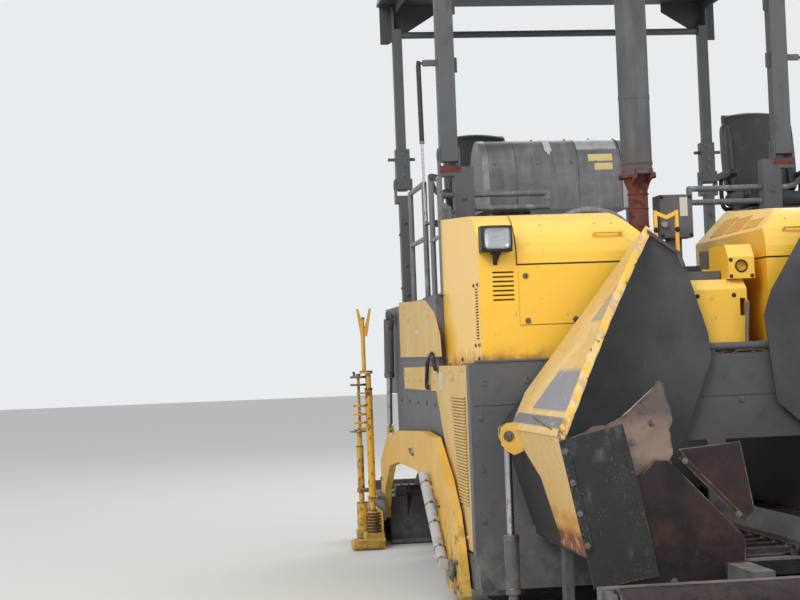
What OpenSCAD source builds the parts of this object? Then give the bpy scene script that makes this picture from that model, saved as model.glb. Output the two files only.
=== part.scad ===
// Asphalt paver on tracks: tilting hopper wings, folding roof, floating screed.
// Front faces -Y, the machine's right-hand side faces -X, the ground is z = 0.

/* [Machine] */
// Half of the width over the hopper bulkhead
half_w = 1275; // [1200:5:1300]
// Front face of the hopper's rear wall
wall_y = -1300; // [-1320:5:-1280]
// Height of the hopper's rear wall
wall_top = 1300; // [1280:5:1320]
// Lower edge of the bulkhead
wall_low = 150; // [140:5:200]
// Top of the operator's platform
deck_z = 1700; // [1680:5:1720]
// Rear end of the platform
deck_rear = 2500; // [2460:5:2520]
// Sheet metal of covers
sheet = 6; // [4:1:8]

/* [Tracks] */
// Middle plane of a track from the machine's middle
track_x = 930; // [920:5:940]
// Width of the shoes
shoe_w = 300; // [260:5:310]
// Axle of the front idler along the machine
idler_y = -850; // [-860:5:-840]
// Axle of the rear sprocket along the machine
sprocket_y = 1350; // [1330:5:1370]
// Height of both axles, also the outer radius over the pads
axle_z = 330; // [320:1:340]
// Thickness of a rubber pad
pad_t = 40; // [30:1:45]
// Thickness of the chain behind the pads
link_t = 45; // [40:1:50]
// Shoes on one straight run
shoes_run = 14; // [12:1:16]
// Shoes round one end
shoes_end = 6; // [5:1:7]

/* [Hopper] */
// Front end of the wings and of the floor
hop_front = -2650; // [-2680:5:-2600]
// Wing hinge from the machine's middle
wing_x = 960; // [950:5:970]
// Wing hinge above the ground
wing_z = 430; // [420:5:440]
// Crease between wing floor and wing wall, from the middle
crease_x = 1125; // [1120:1:1130]
// Crease above the ground
crease_z = 975; // [960:5:985]
// Plate of the wings
wing_t = 10; // [8:1:14]
// Inner edge of a conveyor lane
lane_in = 60; // [50:5:70]
// Outer edge of a conveyor lane
lane_out = 560; // [540:5:580]
// Pitch of the conveyor bars
bar_pitch = 165; // [150:5:180]
// Tilt of the left wing as it stands, in degrees
left_down = 15; // [15:1:15]

/* [Engine hoods] */
// Inner side of a hood
hood_in = 330; // [320:5:340]
// Outer side of a hood
hood_out = 1195; // [1190:5:1200]
// Seam between lid and lamp corner
hood_seam = 1000; // [990:5:1010]
// Height of the lip under the lid
lip_z = 1790; // [1780:5:1800]
// Height of the lid at its rear end
hood_top = 2135; // [2120:5:2150]
// Length of a hood
hood_len = 1220; // [1200:5:1240]

/* [Exhaust] */
// Pipe from the machine's middle
pipe_x = -165; // [-170:1:-160]
// Pipe along the machine
pipe_y = -600; // [-610:1:-590]
// Outer radius of the pipe
pipe_r = 86; // [80:1:90]
// Joint between elbow and pipe
pipe_z = 2310; // [2300:1:2320]
// Length of the folding pipe
pipe_len = 1500; // [1400:10:1550]

/* [Roof] */
// Folding pins above the ground
fold_z = 2570; // [2560:5:2580]
// Front posts along the machine
post_front = 440; // [430:5:450]
// Rear posts along the machine
post_rear = 2150; // [2140:5:2160]
// Length of the folding arms between pins
arm_len = 1250; // [1230:5:1270]
// Half width of the roof
roof_half = 1250; // [1240:5:1260]
// Thickness of the roof panel
roof_t = 60; // [50:5:70]

/* [Screed] */
// Tow pin along the machine
tow_y = -800; // [-810:5:-790]
// Tow pin above the ground
tow_z = 200; // [195:1:205]
// Inner face of a tow arm
arm_in = 1262; // [1260:1:1264]
// Thickness of a tow arm
arm_t = 46; // [40:1:48]
// Front face of the basic screed
screed_y = 2480; // [2475:1:2490]
// Depth of the basic screed
screed_d = 350; // [340:1:352]
// Height of the screed plate above the ground
screed_gap = 8; // [6:1:12]
// Axis of the augers along the machine
auger_y = 2200; // [2190:5:2210]
// Axis of the augers above the ground
auger_z = 420; // [410:5:430]
// Outer radius of the auger flights
auger_r = 185; // [170:5:190]

/* [Hidden] */

yellow = "#f5b92e";
tan_yellow = "#d4ae62";
dark = "#5a5a5c";
black = "#2b2b2d";
steel = "#8c8c90";
brown = "#4a3a34";

fit = 0.4;
wall_t = 30;
wall_back = wall_y + wall_t;
link_r = axle_z - pad_t;
inner_r = link_r - link_t;
run_len = sprocket_y - idler_y;
hood_y = wall_y + 50;
hood_rear = hood_y + hood_len;
roof_z = fold_z + arm_len;
wing_rear = wall_y - 40;
wing_len = wing_rear - hop_front;
wing_tip = [-336, 1955];
slope_len = norm([wing_tip[0] + crease_x, wing_tip[1] - crease_z]);
slope_deg = atan2(wing_tip[1] - crease_z, wing_tip[0] + crease_x);
hinge_z = wing_z + 20;
floor_front = hop_front + 26;
lug_y = [hop_front + 30, -1980, wing_rear - 50];
wing_pin = [-1170, -1710];
rod_eye_z = 944;
rod_foot_z = 120;
lift_top = [1900, 1640];
lift_eye = [2050, 850];
lift_deg = atan2(lift_eye[0] - lift_top[0], lift_top[1] - lift_eye[1]);
lift_len = norm(lift_eye - lift_top);
lift_x = 1288;
strut_top = [post_front, 3140];
strut_low = [post_front - 60, 2150];
strut_x = 1222;
strut_deg = atan2(strut_top[0] - strut_low[0], strut_top[1] - strut_low[1]);
strut_len = norm(strut_top - strut_low);

// Puts its children on the right-hand side for side -1, mirrored for side 1
module onSide(side) {
    if (side < 0) children();
    else mirror([1, 0, 0]) children();
}

module bothSides() {
    children();
    mirror([1, 0, 0]) children();
}

// A box from one corner to the other
module boxFrom(a, b) {
    translate(a) cube(b - a);
}

// A plate across the machine: points are (x, z), it starts at y and is t thick
module plateXZ(points, y, t) {
    translate([0, y + t, 0]) rotate([90, 0, 0]) linear_extrude(t) polygon(points);
}

// A plate along the machine: points are (y, z), it starts at x and is t thick
module plateYZ(points, x, t) {
    translate([x, 0, 0]) rotate([90, 0, 90]) linear_extrude(t) polygon(points);
}

// A straight tube or rod along X
module barX(x0, x1, y, z, r) {
    translate([x0, y, z]) rotate([0, 90, 0]) cylinder(r = r, h = x1 - x0, $fn = 48);
}

// A straight tube or rod along Y
module barY(y0, y1, x, z, r) {
    translate([x, y0, z]) rotate([-90, 0, 0]) cylinder(r = r, h = y1 - y0, $fn = 48);
}

module barZ(x, y, z0, z1, r) {
    translate([x, y, z0]) cylinder(r = r, h = z1 - z0, $fn = 48);
}

// A rod between two points
module rodTo(a, b, r) {
    d = b - a;
    translate(a) rotate([0, acos(d[2] / norm(d)), atan2(d[1],
        d[0])]) cylinder(r = r, h = norm(d), $fn = 32);
}

// A bent tube through points, with ball corners
module bentTube(points, r) {
    for (i = [0 : len(points) - 2]) rodTo(points[i], points[i + 1], r);
    if (len(points) > 2) for (i = [1 : len(points) - 2]) translate(points[i]) sphere(r = r + 0.5, $fn = 32);
}

// Chassis
module main_frame() {
    color(dark) {
        bothSides() {
            boxFrom([-640, wall_back + fit, 320 + fit], [-600, 1900 - fit, 980 - fit]);
            boxFrom([-1150, -400, 670], [-640 - fit, -320, 760]);
            boxFrom([-1150, 1050, 670], [-640 - fit, 1130, 760]);
            boxFrom([-400, -2830, 250], [-300, wall_back, 394.6]);
            boxFrom([-1240, 1900, 670], [-640 - fit, 1950, deck_z - 20]);
            boxFrom([-1250, 1870, 1580], [-1240, 1930, 1650]);
            barX(-lift_x - 20, -1249, lift_top[0], lift_top[1], 18);
        }
        boxFrom([-640, wall_back + fit, 300], [640, 1950, 320]);
        boxFrom([-600, 1900, 900], [600, 1950, 1300]);
        boxFrom([-640, -300, 980], [640, 1900 - fit, 1000]);
    }
}

module bulkhead() {
    color(dark) difference() {
        union() {
            plateXZ([[-half_w, 300], [-half_w, wall_top], [half_w, wall_top], [half_w, 300],
                [1180, wall_low],
                [-1180, wall_low]], wall_y, wall_t);
            bothSides() boxFrom([-half_w, wall_back, 320], [-half_w + 12, wall_back + 60, wall_top]);
            barX(-545, 545, wall_y + 15, wall_top + 35, 22);
            for (x = [-500, 0, 500]) boxFrom([x - 15, wall_y, wall_top - 5],
                [x + 15, wall_back, wall_top + 35]);
        }
        bothSides() boxFrom([-lane_out - 10, wall_y - 1, 400], [-lane_in + 10, wall_back + 1, 860]);
        bothSides() boxFrom([-405, wall_y - 1, 240], [-295, wall_back + 1, 395]);
        boxFrom([-half_w + 20, wall_y - 1, 1078], [half_w - 20, wall_y + 4, 1082]);
    }
}

module hopper_floor() {
    color(dark) {
        bothSides() {
            boxFrom([-wing_x + 40, floor_front, 395], [-lane_out, wall_y - fit, 425]);
            boxFrom([-lane_out - 12, floor_front, 395], [-lane_out, wall_y - fit, 470]);
            boxFrom([-lane_out, floor_front, 395], [0, wall_y - fit, 407]);
            for (y = lug_y) plateXZ([[-wing_x + 40, 395], [-wing_x - 4, hinge_z - 24],
                [-wing_x - 24, hinge_z],
                [-wing_x - 12, hinge_z + 20], [-wing_x + 12, hinge_z + 20], [-wing_x + 50, 425]], y, 20);
            barY(hop_front + 30, wing_rear - 30, -wing_x, hinge_z, 15);
        }
        plateXZ([[-lane_in, 400], [-lane_in, 470], [0, 560], [lane_in, 470], [lane_in, 400]], floor_front,
            wall_y - fit - floor_front);
    }
}

// Worn corner plates that close the hopper's front, with a rubber flap each
module front_plates() {
    color(brown) bothSides() {
        plateXZ([[-915, 330], [-915, 640], [-796, 764], [-703, 855], [-641, 852], [-330, 518],
            [-314, 491], [-318, 396],
            [-406, 396], [-406, 300], [-516, 269], [-700, 269]], hop_front + 10, 15.6);
        plateXZ([[-600, 856], [-582, 872], [-318, 596], [-332, 576]], hop_front - 4, 13.6);
    }
    color(black) bothSides()
        plateXZ([[-593, 896], [-314, 918], [-261, 612], [-317, 571]], hop_front + 26, 10);
}

module conveyors() {
    bars = floor((1850 - hop_front - 100) / bar_pitch);
    color(brown) bothSides() {
        for (i = [0 : bars]) boxFrom([-lane_out + 20, hop_front + 60 + i * bar_pitch, 420],
            [-lane_in - 20, hop_front + 100 + i * bar_pitch, 450]);
        boxFrom([-lane_out + 12, hop_front + 40, 407 + fit], [-lane_out + 40, 1860, 436]);
        boxFrom([-lane_in - 40, hop_front + 40, 407 + fit], [-lane_in - 12, 1860, 436]);
    }
}

// Outline of a track loop: a ring with pads standing out from it
module trackRing(r) {
    translate([idler_y, 0]) circle(r = r, $fn = 96);
    translate([sprocket_y, 0]) circle(r = r, $fn = 96);
    translate([idler_y, -r]) square([run_len, 2 * r]);
}

module trackOutline() {
    difference() {
        trackRing(link_r);
        trackRing(inner_r);
    }
    pitch = run_len / shoes_run;
    pad = pitch - 28;
    for (i = [0 : shoes_run - 1], s = [-1, 1])
        translate([idler_y + (i + 0.5) * pitch - pad / 2, s > 0 ? link_r - 1 : -axle_z]) square([pad,
            pad_t + 1]);
    for (i = [0 : shoes_end - 1]) {
        turn = (i + 0.5) * 180 / shoes_end;
        translate([sprocket_y, 0]) rotate(turn - 90) padEnd();
        translate([idler_y, 0]) rotate(turn + 90) padEnd();
    }
}

module padEnd() {
    polygon([[link_r - 4, -68], [axle_z - 4, -60], [axle_z - 4, 60], [link_r - 4, 68]]);
}

module track(side) {
    color(black) onSide(side) translate([-track_x - shoe_w / 2, 0, axle_z]) rotate([90, 0, 90])
        linear_extrude(shoe_w) trackOutline();
}

// Beams, rollers, idler and toothed sprocket inside each track
module track_frames() {
    teeth = 13;
    color(dark) bothSides() {
        boxFrom([-track_x - 60, idler_y - 120, axle_z - 70], [-track_x + 60, sprocket_y + 60, axle_z + 60]);
        boxFrom([-track_x + 60, -420, axle_z - 60], [-640, -300, axle_z + 50]);
        boxFrom([-track_x + 60, 1030, axle_z - 60], [-640, 1150, axle_z + 50]);
        for (s = [-1, 1]) barX(-track_x + s * 85 - 22, -track_x + s * 85 + 22, idler_y, axle_z,
            inner_r - fit);
        for (i = [0 : 5], s = [-1, 1])
            barX(-track_x + s * 85 - 22, -track_x + s * 85 + 22, -500 + i * 310,
                axle_z - inner_r + 80 + fit, 80);
        barX(-track_x - 70, -track_x + 70, 250, axle_z + inner_r - 70 - fit, 70);
        translate([-track_x - 30, sprocket_y, axle_z]) rotate([90, 0, 90]) linear_extrude(60) {
            circle(r = inner_r - 40, $fn = 96);
            for (i = [0 : teeth - 1]) rotate(i * 360 / teeth)
                polygon([[inner_r - 45, -34], [inner_r - fit, -14], [inner_r - fit, 14],
                    [inner_r - 45, 34]]);
        }
        barX(-track_x - 110, -640, sprocket_y, axle_z, 120);
        barX(-track_x - 110, -track_x + 110, idler_y, axle_z, 50);
        for (i = [0 : 5]) barX(-track_x - 110, -track_x + 110, -500 + i * 310,
            axle_z - inner_r + 80 + fit, 26);
    }
}

// Cross beam with the roller lugs, and the lashing blocks behind it
module push_beam() {
    color(dark) {
        difference() {
            union() {
                boxFrom([-1060, -3035, 240], [1060, -2960 - fit, 370]);
                for (s = [-1, 1], x = [s * 130, s * 1035]) boxFrom([x - 12, -3165, 250],
                    [x + 12, -3030, 360]);
            }
            for (s = [-1, 1], x = [s * 130, s * 1035]) barX(x - 13, x + 13, -3120, 305, 20.05);
        }
        bothSides() difference() {
            boxFrom([-400, -2960, 250], [-300, -2830 - fit, 394.6]);
            barX(-401, -299, -2900, 310, 18);
        }
    }
}

module push_roller(side) {
    color(steel) onSide(side) {
        barX(-1018, -147, -3120, 305, 76);
        barX(-1050, -115, -3120, 305, 20);
    }
}

// Side outline of a hood from its front edge to its rear end
function hoodCurve(steps) = [for (i = [0 : steps]) let (a = 180 - i * 90 / steps)
    [hood_y + 260 + 260 * cos(a), lip_z + 10 + 270 * sin(a)]];

module hoodSection() {
    polygon(concat([[hood_y, wall_top - 10]], hoodCurve(8), [[hood_rear, hood_top],
        [hood_rear, wall_top - 10]]));
}

module hoodInside() {
    polygon(concat([[hood_y + sheet, wall_top - 20]],
        [for (p = hoodCurve(8)) [hood_y + 266 + (p[0] - hood_y - 260) * 0.975,
            lip_z + 10 + (p[1] - lip_z - 10) * 0.975]],
        [[hood_rear - sheet, hood_top - 7], [hood_rear - sheet, wall_top - 20]]));
}

module hoodShell() {
    difference() {
        translate([-hood_out, 0, 0]) rotate([90, 0, 90]) linear_extrude(hood_out - hood_in) hoodSection();
        translate([-hood_out + sheet, 0, 0]) rotate([90, 0, 90])
            linear_extrude(hood_out - hood_in - 2 * sheet) hoodInside();
    }
}

module hood(side) {
    color(yellow) onSide(side) {
        difference() {
            hoodShell();
            boxFrom([-hood_seam, hood_y - 5, lip_z], [0, hood_rear + 5, 2400]);
            for (i = [0 : 6]) boxFrom([-1125, hood_y - 5, 1612 + i * 23.5],
                [-1015, hood_y + 20, 1620 + i * 23.5]);
            for (i = [0 : 17])
                boxFrom([-hood_out - 5, hood_y + 60, 1420 + i * 15],
                    [-hood_out + 20, hood_y + 150, 1427 + i * 15]);
            boxFrom([-990, hood_y - 1, 1481], [-480, hood_y + 2, 1485]);
            boxFrom([-992, hood_y - 1, 1481], [-988, hood_y + 2, 1760]);
        }
        barX(-hood_seam - 4, -524, hood_rear - 4, hood_top - 4, 5);
    }
}

module hoodLid(side) {
    color(yellow) onSide(side) {
        difference() {
            union() {
                intersection() {
                    hoodShell();
                    boxFrom([-hood_seam + 6, hood_y - 5, lip_z + 8], [0, hood_rear + 5, 2400]);
                }
                barX(-980, -534, hood_rear - 4, hood_top - 4, 10);
            }
            translate([-hood_in, 0, 2030]) rotate([0, -45, 0]) boxFrom([-60, hood_y - 20, -300],
                [300, hood_rear + 20, 300]);
            barX(-1100, -300, hood_rear - 4, hood_top - 4, 5.05);
        }
        intersection() {
            translate([-hood_seam + 6, 0, 0]) rotate([90, 0, 90])
                linear_extrude(hood_seam - 6 - hood_in) hoodSection();
            boxFrom([-hood_seam + 6, hood_y - 5, lip_z + 8], [-hood_in, hood_rear - 20, 2400]);
            translate([-hood_in, 0, 2030]) rotate([0, -45, 0]) boxFrom([-66, hood_y - 20, -300],
                [-59, hood_rear + 20, 300]);
        }
        bentTube([[-580, hood_y + 60, 1925], [-580, hood_y + 10, 1950], [-440, hood_y + 10, 1950],
            [-440, hood_y + 60, 1925]], 8);
    }
}

module engine_block() {
    color(black) boxFrom([-322, hood_y + 430, 1000 + fit], [322, -100, 1780]);
}

// Cowl between the hoods, its upper box and bar, and the cradle for the folded exhaust
module centre_cowl() {
    color(yellow) {
        difference() {
            plateYZ([[hood_y, wall_top + fit], [hood_y, 1633], [hood_y + 60, 1686], [hood_y + 420, 1686],
                [hood_y + 420, wall_top + fit]], -68, 283);
            boxFrom([177, hood_y - 5, 1494], [205, hood_y + 20, 1583]);
            boxFrom([-62, hood_y + 6, 1200], [209, hood_y + 414, 1610]);
        }
        difference() {
            plateYZ([[hood_y + 10, 1686 + fit], [hood_y + 10, 1800], [hood_y + 60, 1867],
                [hood_y + 330, 1867],
                [hood_y + 330, 1686 + fit]], 125, 142);
            barY(hood_y, hood_y + 40, 196, 1752, 30);
        }
        boxFrom([96, hood_y + 350, 1710], [310, hood_y + 380, 1755]);
        for (x = [-112, 8]) boxFrom([x, -720, 1780 + fit], [x + 18, -700, 2097]);
        plateXZ([[-112, 2078], [-112, 2100], [-43, 2070], [26, 2100], [26, 2078], [-43, 2046]], -720, 20);
    }
}

// Grey boxes and brackets on the engine and on the cowl
module deck_equipment() {
    color(dark) {
        boxFrom([-60, hood_y + 130, 1686 + fit], [118, hood_y + 345, 1735]);
        boxFrom([-33, -560, 1956], [157, -420, 2198]);
        boxFrom([20, -520, 1780 + fit], [100, -460, 1957]);
        boxFrom([96, hood_y + 386, 1686 + fit], [310, hood_y + 404, 1857]);
    }
}

module headlamps() {
    color(black) bothSides() {
        boxFrom([-1190, hood_y - 76, 1860], [-1030, hood_y + 4, 1992]);
        plateYZ([[hood_y - 50, 1861], [hood_y + 3, 1861], [hood_y + 2, 1840], [hood_y - fit, 1815],
            [hood_y - fit, 1796],
            [hood_y - 10, 1796]], -1120, 20);
    }
}

module exhaust_elbow() {
    color("#6b3a35") difference() {
        union() {
            barZ(pipe_x, pipe_y, 1780 + fit, pipe_z - 90, 55);
            translate([pipe_x, pipe_y, pipe_z - 90]) cylinder(r1 = 55, r2 = 80, h = 70, $fn = 64);
            barZ(pipe_x, pipe_y, pipe_z - 20, pipe_z - 8, 105);
            for (x = [-45, 45]) plateYZ([[pipe_y - 60, pipe_z - 60], [pipe_y - 150, pipe_z - 30],
                [pipe_y - 150, pipe_z + 20],
                [pipe_y - 114, pipe_z + 20], [pipe_y - 112, pipe_z - 8], [pipe_y - 60, pipe_z - 8]],
                    pipe_x + x - 5, 10);
        }
        barZ(pipe_x, pipe_y, 1750, pipe_z, 48);
        barX(pipe_x - 60, pipe_x + 60, pipe_y - 130, pipe_z, 10.05);
    }
}

module exhaust_pipe() {
    color(dark) difference() {
        union() {
            barZ(pipe_x, pipe_y, pipe_z - 7, pipe_z + 5, 105);
            barZ(pipe_x, pipe_y, pipe_z - 7, pipe_z + pipe_len, pipe_r);
            boxFrom([pipe_x - 35, pipe_y - 130, pipe_z + 5 - 12], [pipe_x + 35, pipe_y - 80, pipe_z + 5]);
            barX(pipe_x - 55, pipe_x + 55, pipe_y - 130, pipe_z, 10);
        }
        barZ(pipe_x, pipe_y, pipe_z - 20, pipe_z + pipe_len + 10, pipe_r - 5);
    }
}

// Yellow side covers with a slanted louvre field
module side_panels() {
    color(tan_yellow) bothSides() {
        difference() {
            plateYZ([[wall_back + 60, 320], [wall_back + 60, wall_top - 10], [1500, wall_top - 20],
                [1500, 1140], [60, 1140],
                [-690, 310]], -1245, sheet);
            for (i = [0 : 34]) let (z = 1120 - i * 16.5)
                boxFrom([-1250, -970, z - 9], [-1230, -610 - i * 5.5 + 120, z]);
        }
        boxFrom([-1245, wall_back + 20, wall_top - 20], [-1180, -100, wall_top - 12]);
        plateYZ([[-170, 1340], [-140, 1465], [44, 1600], [394, 1688], [1636, deck_z + 20],
            [1636, 1350]], -1247, 8);
    }
}

module body_shell() {
    color(dark) bothSides() {
        boxFrom([-1238.6, wall_back + fit, 760 + fit], [-640 - fit, -20, 780]);
        boxFrom([-1238.6, -20, 760 + fit], [-640 - fit, 1900 - fit, deck_z - 20]);
        boxFrom([-1238.6, wall_back + fit, 779], [-1150, -20, wall_top - 20 - fit]);
    }
    color(dark) boxFrom([-641, -20, 1000 + fit], [641, 1900 - fit, deck_z - 20]);
}

module platform() {
    color(dark) {
        boxFrom([-1235, -20, deck_z - 20 + fit], [1235, deck_rear, deck_z]);
        bothSides() {
            boxFrom([-1235, 1950 + fit, deck_z - 120], [-1195, deck_rear, deck_z - 19]);
            boxFrom([-1235, deck_rear - 300, 1100], [-820, deck_rear - 40, 1130]);
            boxFrom([-1235, 1950 + fit, 1100], [-1180, deck_rear - 40, deck_z - 19]);
        }
        boxFrom([-900, 250, deck_z], [-300, 420, 2150]);
    }
}

module handrails() {
    color(steel) bothSides() {
        bentTube([[-1190, -10, deck_z], [-1190, -10, 2380], [-1190, 330, 2430], [-1190, 330, deck_z]], 17);
        bentTube([[-1130, 60, deck_z], [-1130, 60, 2210], [-1130, 270, 2250], [-1130, 270, deck_z]], 17);
    }
    color(steel) {
        bentTube([[-1190, 620, deck_z], [-1190, 620, 2420], [-1190, 1250, 2420],
            [-1190, 1250, deck_z]], 17);
        bentTube([[-1190, 620, 2080], [-1190, 1250, 2080]], 15);
        bothSides() bentTube([[-914 + fit, post_front, 2325], [-450, post_front, 2325],
            [-450, post_front, 2240],
            [-914 + fit, post_front, 2240]], 18);
        bentTube([[-600, deck_rear - 40, deck_z], [-600, deck_rear - 40, 2440], [600, deck_rear - 40, 2440],
            [600, deck_rear - 40, deck_z]], 18);
    }
}

// Lower post from x = -outer to -inner, with a fork round an arm from -head_out to -head_in
module forkPost(y, outer, inner, head_out, head_in) {
    difference() {
        union() {
            boxFrom([-outer, y - 45, deck_z + fit], [-inner, y + 45, fold_z - 75]);
            boxFrom([-head_out - 12, y - 45, fold_z - 130], [-head_in + 12, y + 45, fold_z - 75]);
            boxFrom([-head_out - 12, y - 45, fold_z - 130], [-head_out - 2, y + 45, fold_z + 45]);
            boxFrom([-head_in + 2, y - 45, fold_z - 130], [-head_in + 12, y + 45, fold_z + 45]);
        }
        barX(-head_out - 20, -head_in + 20, y, fold_z, 20.05);
    }
}

// Fixed lower posts with forked heads for the folding arms
module roof_bases() {
    color(dark) bothSides() {
        forkPost(post_front, 1034, 914, 1110, 1005);
        forkPost(post_rear, 1150, 1090, 1166, 1068);
        boxFrom([-1195, strut_low[0] - 15, strut_low[1] - 20],
            [-1033, strut_low[0] + 30, strut_low[1] + 20]);
        barX(-strut_x + 11, -1190, strut_low[0], strut_low[1], 9);
    }
}

module foldArm(y, outer, inner, r, drop) {
    difference() {
        union() {
            boxFrom([-outer, y - r, fold_z - 40], [-inner, y + r, roof_z - drop]);
            boxFrom([-outer, y - 35, roof_z - drop - 5], [-outer + 12, y + 35, roof_z + 28]);
        }
        barX(-outer - 10, -outer + 20, y, roof_z, 15.05);
    }
}

module roof_front_arms() {
    color(dark) {
        bothSides() {
            foldArm(post_front, 1110, 1005, 45, 45);
            barX(-1126, -990, post_front, fold_z, 20);
            for (z = [3080, 3440]) boxFrom([-1006, post_front - 12, z], [-984, post_front + 12, z + 90]);
            boxFrom([-1195, post_front - 15, strut_top[1] - 18],
                [-1105, post_front + 15, strut_top[1] + 18]);
            barX(-strut_x - 8, -1190, strut_top[0], strut_top[1], 9);
        }
        barX(-1010, 1010, post_front, roof_z - 110, 24);
    }
}

module roof_rear_arms() {
    color(dark) {
        bothSides() {
            foldArm(post_rear, 1155, 1090, 35, 135);
            barX(-1182, -1052, post_rear, fold_z, 20);
            boxFrom([-1166, post_rear - 44, fold_z - 30], [-1068, post_rear + 44, 2826]);
            boxFrom([-1219, post_rear - 12, 2745], [-1026, post_rear + 12, 2765]);
        }
        barX(-1095, 1095, post_rear, roof_z - 175, 24);
    }
}

module roof_panel() {
    color("#b8b8ba") plateYZ([[post_front - 300, roof_z + 46], [post_front - 300, roof_z + 62],
        [post_front - 180, roof_z + 46 + roof_t], [post_rear - 20, roof_z + 46 + roof_t],
            [post_rear + 90, roof_z + 62],
        [post_rear + 90, roof_z + 46]], -roof_half, 2 * roof_half);
    color(dark) bothSides() {
        boxFrom([-1133, post_front - 200, roof_z - 25], [-1121, post_rear + 60, roof_z + 50]);
        barX(-1125, -1098, post_front, roof_z, 15);
        barX(-1156, -1125, post_rear, roof_z, 15);
        plateXZ([[-1235, roof_z + 47], [-838, roof_z + 47], [-838, roof_z - 20], [-1000, roof_z - 120],
            [-1180, roof_z - 230],
            [-1235, roof_z - 230]], post_rear + 45, 10);
    }
}

module console() {
    color("#808080") {
        translate([-782, 1050, 2495]) rotate([90, 0, 90]) linear_extrude(967) {
            circle(r = 230, $fn = 96);
            translate([-230, -240]) square([460, 240]);
        }
        boxFrom([-700, 980, deck_z + 30], [-450, 1120, 2260]);
        boxFrom([-782, 940, deck_z + fit], [185, 1160, deck_z + 32]);
    }
}

module seat(side, x, dy) {
    color(black) translate([side * x, dy, 0]) {
        boxFrom([-240, 1830, 2200], [240, 2300, 2310]);
        plateYZ([[2210, 2300], [2290, 2890], [2350, 2915], [2370, 2880], [2300, 2290]], -240, 480);
        boxFrom([-160, 1900, deck_z + 40], [160, 2220, 2205]);
        boxFrom([-200, 1880, deck_z + fit], [side > 0 ? 78 : 200, 2240, deck_z + 45]);
        for (s = [-1, 1]) boxFrom([s * 275 - 28, 1950, 2440], [s * 275 + 28, 2280, 2490]);
        for (s = [-1, 1]) boxFrom([s * 258 - 19, 2215, 2250], [s * 258 + 19, 2275, 2445]);
    }
}

// Top edge of the wing wall, from the front corner to the rear apex
function wingEdge(steps) = [for (i = [0 : steps]) let (k = i / steps)
    [hop_front + wing_len * k, slope_len * (0.86 * k + 0.14 * k * k * k) + 8]];

// End of a wing cylinder's rod with the wing turned outwards by a
function wingEye(a) = let (v = [wing_pin[0] + wing_x, rod_eye_z - hinge_z])
    [-wing_x + v[0] * cos(a) - v[1] * sin(a), hinge_z + v[0] * sin(a) + v[1] * cos(a)];
function wingDown(side) = side > 0 ? left_down : 0;
function barrelDeg(a) = atan2(wing_pin[0] - wingEye(a)[0], wingEye(a)[1] - rod_foot_z);

module wingPose(side) {
    onSide(side) translate([-wing_x, 0, hinge_z]) rotate([0, -wingDown(side), 0]) translate([wing_x, 0,
        -hinge_z])
        children();
}

// The wing closes round a tube on the hinge pin, left open where the floor's lugs stand
module wing(side) {
    color(yellow) wingPose(side) {
        translate([-crease_x, 0, crease_z]) rotate([0, -slope_deg, 0]) rotate([0, 0, 90]) mirror([0, 1, 0])
            translate([0, 0, -3]) linear_extrude(wing_t) polygon(concat([[wing_rear, -6],
                [hop_front, -6]], wingEdge(6)));
        plateXZ([[-wing_x - 24, hinge_z + 26], [-crease_x - 4, crease_z - 2], [-crease_x + 8, crease_z + 6],
            [-wing_x - 12, hinge_z + 26]], hop_front, wing_len);
        plateXZ([[-wing_x - 24, hinge_z + 26], [-crease_x, crease_z], wing_tip, [-259, 1897], [-167, 1832],
            [-139, 1754], [-33, 1407], [-23, 1278], [-186, 855], [-wing_x + 24, hinge_z + 30]],
                wing_rear - wing_t, wing_t);
        plateXZ([[-338, 1948], [-262, 1893], [-171, 1828], [-144, 1756], [-155, 1748], [-181, 1816],
            [-268, 1878],
            [-338, 1928]], wing_rear - 34, 30);
        for (i = [0, 1]) difference() {
            union() {
                barY(lug_y[i] + 24, lug_y[i + 1] - 4, -wing_x, hinge_z, 24);
                plateXZ([[-wing_x - 22, hinge_z], [-wing_x - 24, hinge_z + 28],
                    [-wing_x - 12, hinge_z + 28],
                    [-wing_x - 6, hinge_z]], lug_y[i] + 24, lug_y[i + 1] - lug_y[i] - 28);
            }
            barY(hop_front, wing_rear, -wing_x, hinge_z, 15.05);
        }
        plateXZ([[-1021, 620], [-1117, 950], [-863, 1018], [-653, 1193], [-627, 1078], [-624, 851],
            [-763, 757]],
            hop_front + 50, 10);
        for (y = [wing_pin[1] - 35, wing_pin[1] + 20]) plateXZ([[-1095, 870], [-1145, 850], [-1205, 900],
            [-1205, 985], [-1150, 1010], [-1110, 990]], y, 15);
        for (s = [-29, 29]) barY(wing_pin[1] + s - 11, wing_pin[1] + s + 11, wing_pin[0], rod_eye_z, 15);
    }
}

module wingFlap(side) {
    color(black) wingPose(side) {
        plateXZ([[-1125, 955], [-844, 1016], [-785, 760], [-710, 358], [-998, 318], [-1023, 447]],
            hop_front - 12 - fit, 12);
        plateXZ([[-1118, 930], [-1090, 936], [-1000, 490], [-1022, 481]], hop_front - 22 - fit, 10);
    }
}

module cylinderPose(side) {
    onSide(side) translate([wing_pin[0], 0, rod_foot_z]) rotate([0, -barrelDeg(wingDown(side)),
        0]) children();
}

module wingBarrel(side) {
    color(dark) cylinderPose(side) difference() {
        union() {
            barZ(0, wing_pin[1], 20, 66, 24);
            barZ(0, wing_pin[1], 64, 345, 36);
            barY(wing_pin[1] - 25, wing_pin[1] + 25, 0, 0, 30);
        }
        barZ(0, wing_pin[1], 45, 355, 18.05);
        barY(wing_pin[1] - 30, wing_pin[1] + 30, 0, 0, 15.05);
    }
}

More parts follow.
